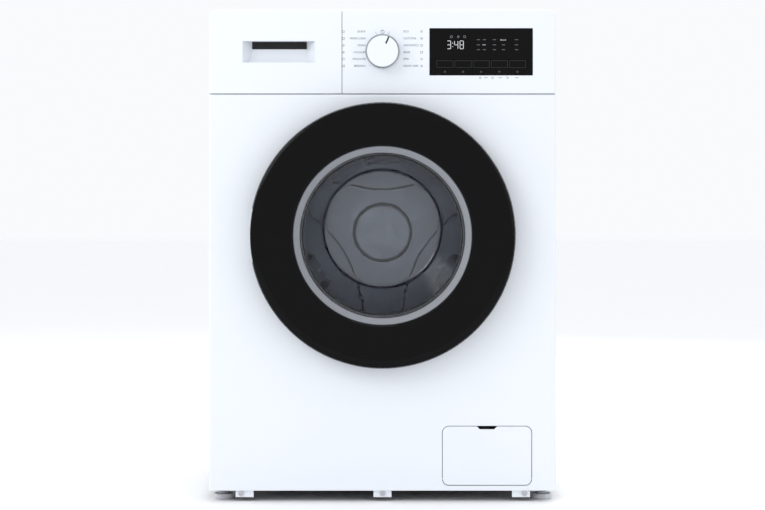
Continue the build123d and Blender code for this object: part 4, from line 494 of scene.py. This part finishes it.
softbox("key_left", (-2.3, -2.2, 2.2), (0, -0.2, 0.5), 1.6, 1.6, 26)
softbox("fill_right", (2.6, -2.4, 1.4), (0, -0.2, 0.45), 1.4, 1.8, 5)
softbox("top_soft", (0.2, 0.3, 3.0), (0, 0, 0.4), 2.2, 2.0, 12)
softbox("rear_soft", (1.5, 3.0, 2.0), (0, 0.2, 0.5), 1.6, 1.6, 30)

CAMERA_BACK = 3.5
VIEW_WIDTH = 1.3215
camera_data = bpy.data.cameras.new("studio_camera")
camera_data.sensor_width = 36
camera_data.lens = 36 * CAMERA_BACK / VIEW_WIDTH
CAMERA_Z = 0.505
camera_data.shift_y = -(CAMERA_Z - 0.426) / VIEW_WIDTH
camera = bpy.data.objects.new("studio_camera", camera_data)
bpy.context.scene.collection.objects.link(camera)
camera.location = (0, FACE_Y - CAMERA_BACK, CAMERA_Z)
camera.rotation_euler = (math.pi / 2, 0, 0)
bpy.context.scene.camera = camera
bpy.context.scene.view_settings.view_transform = "Standard"

# ---------------------------------------------------------------- knob

knob_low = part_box("program_knob")[0]
KNOB_FACE = knob_low.y
KNOB_R = (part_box("program_knob")[1].x - knob_low.x) / 2

knob_ring = turned([(KNOB_R + 0.0003, KNOB_FACE + 0.0022), (KNOB_R + 0.0003, KNOB_FACE + 0.0010),
                    (KNOB_R - 0.0011, KNOB_FACE - 0.0001), (KNOB_R - 0.0024, KNOB_FACE - 0.0001),
                    (KNOB_R - 0.0024, KNOB_FACE + 0.0022)], 96, (0, 0, KNOB_Z))
finish_piece(knob_ring, "knob_ring", extra_finishes["knob_silver"], "knob")

MARK_ANGLE = 24.0
mark_middle = 0.0207
MARK_WIDTH = 0.0028
MARK_LENGTH = 0.0130
mark_turn = math.radians(MARK_ANGLE)
mark = bar(mark_middle * math.sin(mark_turn), KNOB_Z + mark_middle * math.cos(mark_turn), MARK_WIDTH,
           MARK_LENGTH, KNOB_FACE + 0.0001, MARK_ANGLE)
finish_piece(mark, "knob_mark", extra_finishes["mark_black"], "knob")

# ---------------------------------------------------------------- silver ring on the door

trim_low, trim_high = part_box("door_trim_ring")
TRIM_R = (trim_high.x - trim_low.x) / 2
TRIM_WIDTH = 0.0026
TRIM_RISE = 0.0005
trim_front = trim_low.y - TRIM_RISE
silver_ring = turned([(TRIM_R, trim_front + 0.0030), (TRIM_R, trim_front + 0.0006),
                      (TRIM_R - 0.0005, trim_front), (TRIM_R - TRIM_WIDTH + 0.0005, trim_front),
                      (TRIM_R - TRIM_WIDTH, trim_front + 0.0006),
                      (TRIM_R - TRIM_WIDTH, trim_front + 0.0030)], 192)
finish_piece(silver_ring, "silver_ring", extra_finishes["satin_silver"], "door")

# ---------------------------------------------------------------- painted shade in the pocket above the drawer's scoop

POCKET_BACK = FACE_Y + 0.0212
POCKET_X = -0.1790
POCKET_Z = 0.7894
POCKET_W = 0.0950
POCKET_H = 0.0128
# a thin dark sheet at the back of the finger pocket: painted shade where the pocket lies in shadow
painted_pocket_shade = bar(POCKET_X, POCKET_Z, POCKET_W, POCKET_H, POCKET_BACK)
finish_piece(painted_pocket_shade, "painted_pocket_shade", extra_finishes["painted_shade_dark"], "drawer")

# ---------------------------------------------------------------- print on the control panel

PRINT_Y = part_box("control_panel")[0].y
ROWS = [KNOB_Z + offset * MM for offset in (35, 23, 11, -1, -12.5, -24.5)]
LEFT_WORDS = ("QUICK", "MIXED LOAD", "STEAM", "COLOURS", "DELICATES", "BEDDING")
RIGHT_WORDS = ("ECO", "COTTONS", "SYNTHETICS", "RINSE", "SPIN", "DRUM CARE")
LABEL_SIZE = 0.0035
LABEL_SPACING = 0.95
panel_print = []
for row, text in zip(ROWS, LEFT_WORDS):
    panel_print.append(words(text, -0.029, row, LABEL_SIZE, PRINT_Y, "RIGHT", LABEL_SPACING))
for row, text in zip(ROWS, RIGHT_WORDS):
    panel_print.append(words(text, 0.036, row, LABEL_SIZE, PRINT_Y, "LEFT", LABEL_SPACING))
for number, row in enumerate(ROWS):
    for side in (-1, 1):
        x = side * 0.0675
        kind = (number + (side > 0) * 2) % 4
        if kind == 0:
            panel_print.append(ring(x, row, 0.0022, 0.0005, PRINT_Y, 12))
        elif kind == 1:
            panel_print.append(bar(x, row + 0.0016, 0.0044, 0.0005, PRINT_Y))
            panel_print.append(bar(x, row - 0.0016, 0.0034, 0.0005, PRINT_Y))
            panel_print.append(line(x - 0.0022, row + 0.0018, x - 0.0015, row - 0.0016, 0.0005, PRINT_Y))
            panel_print.append(line(x + 0.0022, row + 0.0018, x + 0.0015, row - 0.0016, 0.0005, PRINT_Y))
        elif kind == 2:
            panel_print.append(ring(x, row, 0.0022, 0.0005, PRINT_Y, 4))
        else:
            for offset in (-0.0014, 0, 0.0014):
                panel_print.append(bar(x + offset, row, 0.0005, 0.0036, PRINT_Y))
# the off mark above the knob
panel_print.append(ring(0, KNOB_Z + 0.0345, 0.0032, 0.0006, PRINT_Y, 24))
panel_print.append(bar(0, KNOB_Z + 0.0363, 0.0006, 0.0034, PRINT_Y))
# small marks in a row under the display
MARKS_Z = 0.7322
for number, x in enumerate((0.1690, 0.1785, 0.1900, 0.2035, 0.2160, 0.2320)):
    if number % 2:
        panel_print.append(bar(x, MARKS_Z, 0.0060, 0.0007, PRINT_Y))
    else:
        panel_print.append(ring(x, MARKS_Z, 0.0018, 0.0005, PRINT_Y, 10))
finish_piece(joined(panel_print), "panel_print", extra_finishes["print_grey"], "cabinet")

leaders = []
for number, row in enumerate(ROWS):
    for side in (-1, 1):
        angle = math.radians(90 - (72, 48, 24, 0, -24, -48)[number])
        start = Vector((math.sin(angle), 0, math.cos(angle))) * (KNOB_R + 0.0022)
        near_x = side * start.x
        far_x = side * 0.0275 if side < 0 else 0.0345
        turn_x = near_x + side * abs(row - KNOB_Z - start.z) * 0.5
        if (turn_x - far_x) * side > 0:
            turn_x = far_x
        leaders.append(line(near_x, KNOB_Z + start.z, turn_x, row, 0.0004, PRINT_Y))
finish_piece(joined(leaders), "leader_lines", extra_finishes["print_pale"], "cabinet")

# ---------------------------------------------------------------- display

SEGMENTS = {
    "3": "abcdg", "4": "bcfg", "8": "abcdefg",
}
DIGIT_W = 0.0060
DIGIT_H = 0.0136
STROKE = 0.0008
LIT_Y = DISPLAY_Y


def digit(text, x, z):
    """A seven segment digit, whose middle is at x and z."""
    w, h = DIGIT_W / 2, DIGIT_H / 2
    parts = {
        "a": (x, z + h, DIGIT_W - STROKE, STROKE), "g": (x, z, DIGIT_W - STROKE, STROKE),
        "d": (x, z - h, DIGIT_W - STROKE, STROKE), "b": (x + w, z + h / 2, STROKE, h - STROKE),
        "c": (x + w, z - h / 2, STROKE, h - STROKE), "f": (x - w, z + h / 2, STROKE, h - STROKE),
        "e": (x - w, z - h / 2, STROKE, h - STROKE),
    }
    return [bar(px, pz, pw, ph, LIT_Y) for px, pz, pw, ph in (parts[s] for s in SEGMENTS[text])]


time_z = 0.789
lit = digit("3", 0.1148, time_z) + digit("4", 0.1273, time_z) + digit("8", 0.1368, time_z)
lit += [dot(0.1211, time_z + 0.003, 0.0006, LIT_Y), dot(0.1211, time_z - 0.003, 0.0006, LIT_Y)]
finish_piece(joined(lit), "time_digits", extra_finishes["digit_white"], "cabinet")

small = [ring(0.119, 0.803, 0.0022, 0.0005, LIT_Y, 12), ring(0.131, 0.803, 0.0022, 0.0005, LIT_Y, 4),
         ring(0.1418, 0.803, 0.0022, 0.0005, LIT_Y, 12), bar(0.1752, 0.789, 0.0052, 0.0018, LIT_Y),
         bar(0.2083, 0.7975, 0.0098, 0.0022, LIT_Y)]
finish_piece(joined(small), "lit_marks", extra_finishes["digit_mid"], "cabinet")

faint = []
for x in (0.1656, 0.1760, 0.1933, 0.2090, 0.2315):
    for z in (0.7979, 0.789, 0.7807):
        faint.append(bar(x, z, 0.0056, 0.0014, LIT_Y))
for number in range(1, 6):
    low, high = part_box(f"key_{number}")
    middle = (low.x + high.x) / 2
    faint.append(bar(middle, 0.7425, 0.0034, 0.0006, LIT_Y))
    faint.append(ring(middle, 0.7425, 0.0018, 0.0004, LIT_Y, 10))
finish_piece(joined(faint), "faint_marks", extra_finishes["digit_dim"], "cabinet")

# outlines of the five keys
KEY_INSET = 0.0009
KEY_LINE = 0.00026
for number in range(1, 6):
    low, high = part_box(f"key_{number}")
    x, z, y = (low.x + high.x) / 2, (low.z + high.z) / 2, low.y
    w, h = (high.x - low.x) / 2 - KEY_INSET, (high.z - low.z) / 2 - KEY_INSET
    frame_lines = [line(x - w, z - h, x + w, z - h, KEY_LINE, y),
                   line(x - w, z + h, x + w, z + h, KEY_LINE, y),
                   line(x - w, z - h, x - w, z + h, KEY_LINE, y),
                   line(x + w, z - h, x + w, z + h, KEY_LINE, y)]
    finish_piece(joined(frame_lines), f"key_{number}_outline", extra_finishes["digit_dim"],
                 f"button_{number}")

# ---------------------------------------------------------------- gasket, springs and bellows

gasket_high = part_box("door_gasket")[1]
GASKET_PROFILE = (
    (145.5, 10.0), (152, 5.5), (158.5, 3.4), (162.6, 4.2), (163.3, 9), (163.3, 36), (166, 42), (177, 45.5),
    (180, 49), (180, 57), (176, 63), (170.6, 69), (171.5, 74), (176, 80), (176, 92), (172.4, 92),
    (172.4, 83.8),
    (167.5, 83.6), (167.3, 70), (170, 63.5), (175.5, 57), (176, 51), (171, 48.2), (161.5, 45), (159.5, 40),
    (159.5, 34), (157.8, 31), (159.5, 28), (159.5, 16), (152.5, 12), (145.5, 13.2),
)
gasket = softened(turned([(r * MM, FACE_Y + d * MM) for r, d in GASKET_PROFILE], 144), 0.0009, 2)
bending(gasket, "seal_bellows", "grey_rubber", (0, FACE_Y + 0.018, AXIS_Z),
        (0, gasket_high.y - 0.012, AXIS_Z), "door_gasket")

spring_low, spring_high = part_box("suspension_springs")
bending(copy_of("suspension_springs", "hanging_springs"), "hanging_springs", "steel",
        (0, 0, spring_high.z - 0.012), (0, 0, spring_low.z + 0.012), "suspension_springs")

dispenser_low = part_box("dispenser_housing")[0]
FILL_X = -0.110
FILL_Y = FACE_Y + 0.310
fill_top = dispenser_low.z + 0.0138
fill_foot = fill_top - 0.0318
fill_profile = [(0.0132, fill_foot), (0.0155, fill_foot)]
FOLDS = 5
for fold in range(FOLDS):
    low = fill_foot + 0.006 + fold * 0.0042
    fill_profile += [(0.0155, low), (0.0172, low + 0.0014), (0.0172, low + 0.0022), (0.0155, low + 0.0036)]
fill_profile += [(0.0155, fill_top), (0.0132, fill_top)]
fill_bellows = turned(fill_profile, 48, (FILL_X, FILL_Y, 0), upright=True)
bending(softened(fill_bellows, 0.0004, 2), "fill_bellows", "black_rubber", (0, 0, fill_top - 0.008),
        (0, 0, fill_foot + 0.006), "tub_hoses")

sump = copy_of("tub_hoses", "sump_hose")
only(sump)
bpy.ops.object.mode_set(mode="EDIT")
bpy.ops.mesh.select_all(action="DESELECT")
bpy.ops.object.mode_set(mode="OBJECT")
for vertex in sump.data.vertices:
    vertex.select = vertex.co.z > 0.5
bpy.ops.object.mode_set(mode="EDIT")
bpy.ops.mesh.delete(type="VERT")
bpy.ops.object.mode_set(mode="OBJECT")
sump_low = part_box("tub_hoses")[0].z
bending(sump, "sump_hose", "black_rubber", (0, 0, sump_low + 0.014), (0, 0, sump_low + 0.084), "tub_hoses")

# ---------------------------------------------------------------- holes in the drum, as painted shade

shell_low, shell_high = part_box("drum_shell")
DRUM_R = (shell_high.x - shell_low.x) / 2
HOLE_R = 0.0019
AROUND = 54
ALONG = 11
PITCH = 0.0275


def hole_rows(first_y, first_turn):
    """Rows of holes round the drum wall. Each hole is a small dark dish, just inside the wall: painted
    shade for the dark seen through it.
    """
    deselect()
    bpy.ops.mesh.primitive_circle_add(vertices=8, radius=HOLE_R, fill_type="NGON",
                                      location=(0, first_y, AXIS_Z - DRUM_R + 0.00145))
    piece = bpy.context.object
    rest_at_origin(piece)
    only(piece)
    bpy.ops.object.mode_set(mode="EDIT")
    bpy.ops.mesh.select_all(action="SELECT")
    bpy.ops.mesh.extrude_region_move(TRANSFORM_OT_translate={"value": (0, 0, 0.0002)})
    bpy.ops.mesh.select_all(action="SELECT")
    bpy.ops.mesh.normals_make_consistent(inside=False)
    bpy.ops.transform.rotate(value=-first_turn, orient_axis="Y", center_override=(0, first_y, AXIS_Z))
    bpy.ops.object.mode_set(mode="OBJECT")
    row = piece.modifiers.new("along", "ARRAY")
    row.use_relative_offset = False
    row.use_constant_offset = True
    row.constant_offset_displace = (0, PITCH, 0)
    row.count = ALONG
    bpy.ops.object.modifier_apply(modifier=row.name)
    pivot = bpy.data.objects.new("pivot", None)
    bpy.context.scene.collection.objects.link(pivot)
    turn = math.radians(360 / AROUND)
    pivot.rotation_euler = (0, turn, 0)
    middle = Vector((0, 0, AXIS_Z))
    swung = middle.copy()
    swung.rotate(pivot.rotation_euler)
    pivot.location = middle - swung
    bpy.context.view_layer.update()
    ring_of = piece.modifiers.new("around", "ARRAY")
    ring_of.use_relative_offset = False
    ring_of.use_object_offset = True
    ring_of.offset_object = pivot
    ring_of.count = AROUND
    only(piece)
    bpy.ops.object.modifier_apply(modifier=ring_of.name)
    bpy.data.objects.remove(pivot)
    return piece


FIRST_ROW_Y = shell_low.y + 0.026
holes = joined([hole_rows(FIRST_ROW_Y, 0), hole_rows(FIRST_ROW_Y + PITCH / 2, math.pi / AROUND)])
# the dark dishes are painted shade for the holes
finish_piece(holes, "drum_holes", extra_finishes["painted_shade_dark"], "drum")
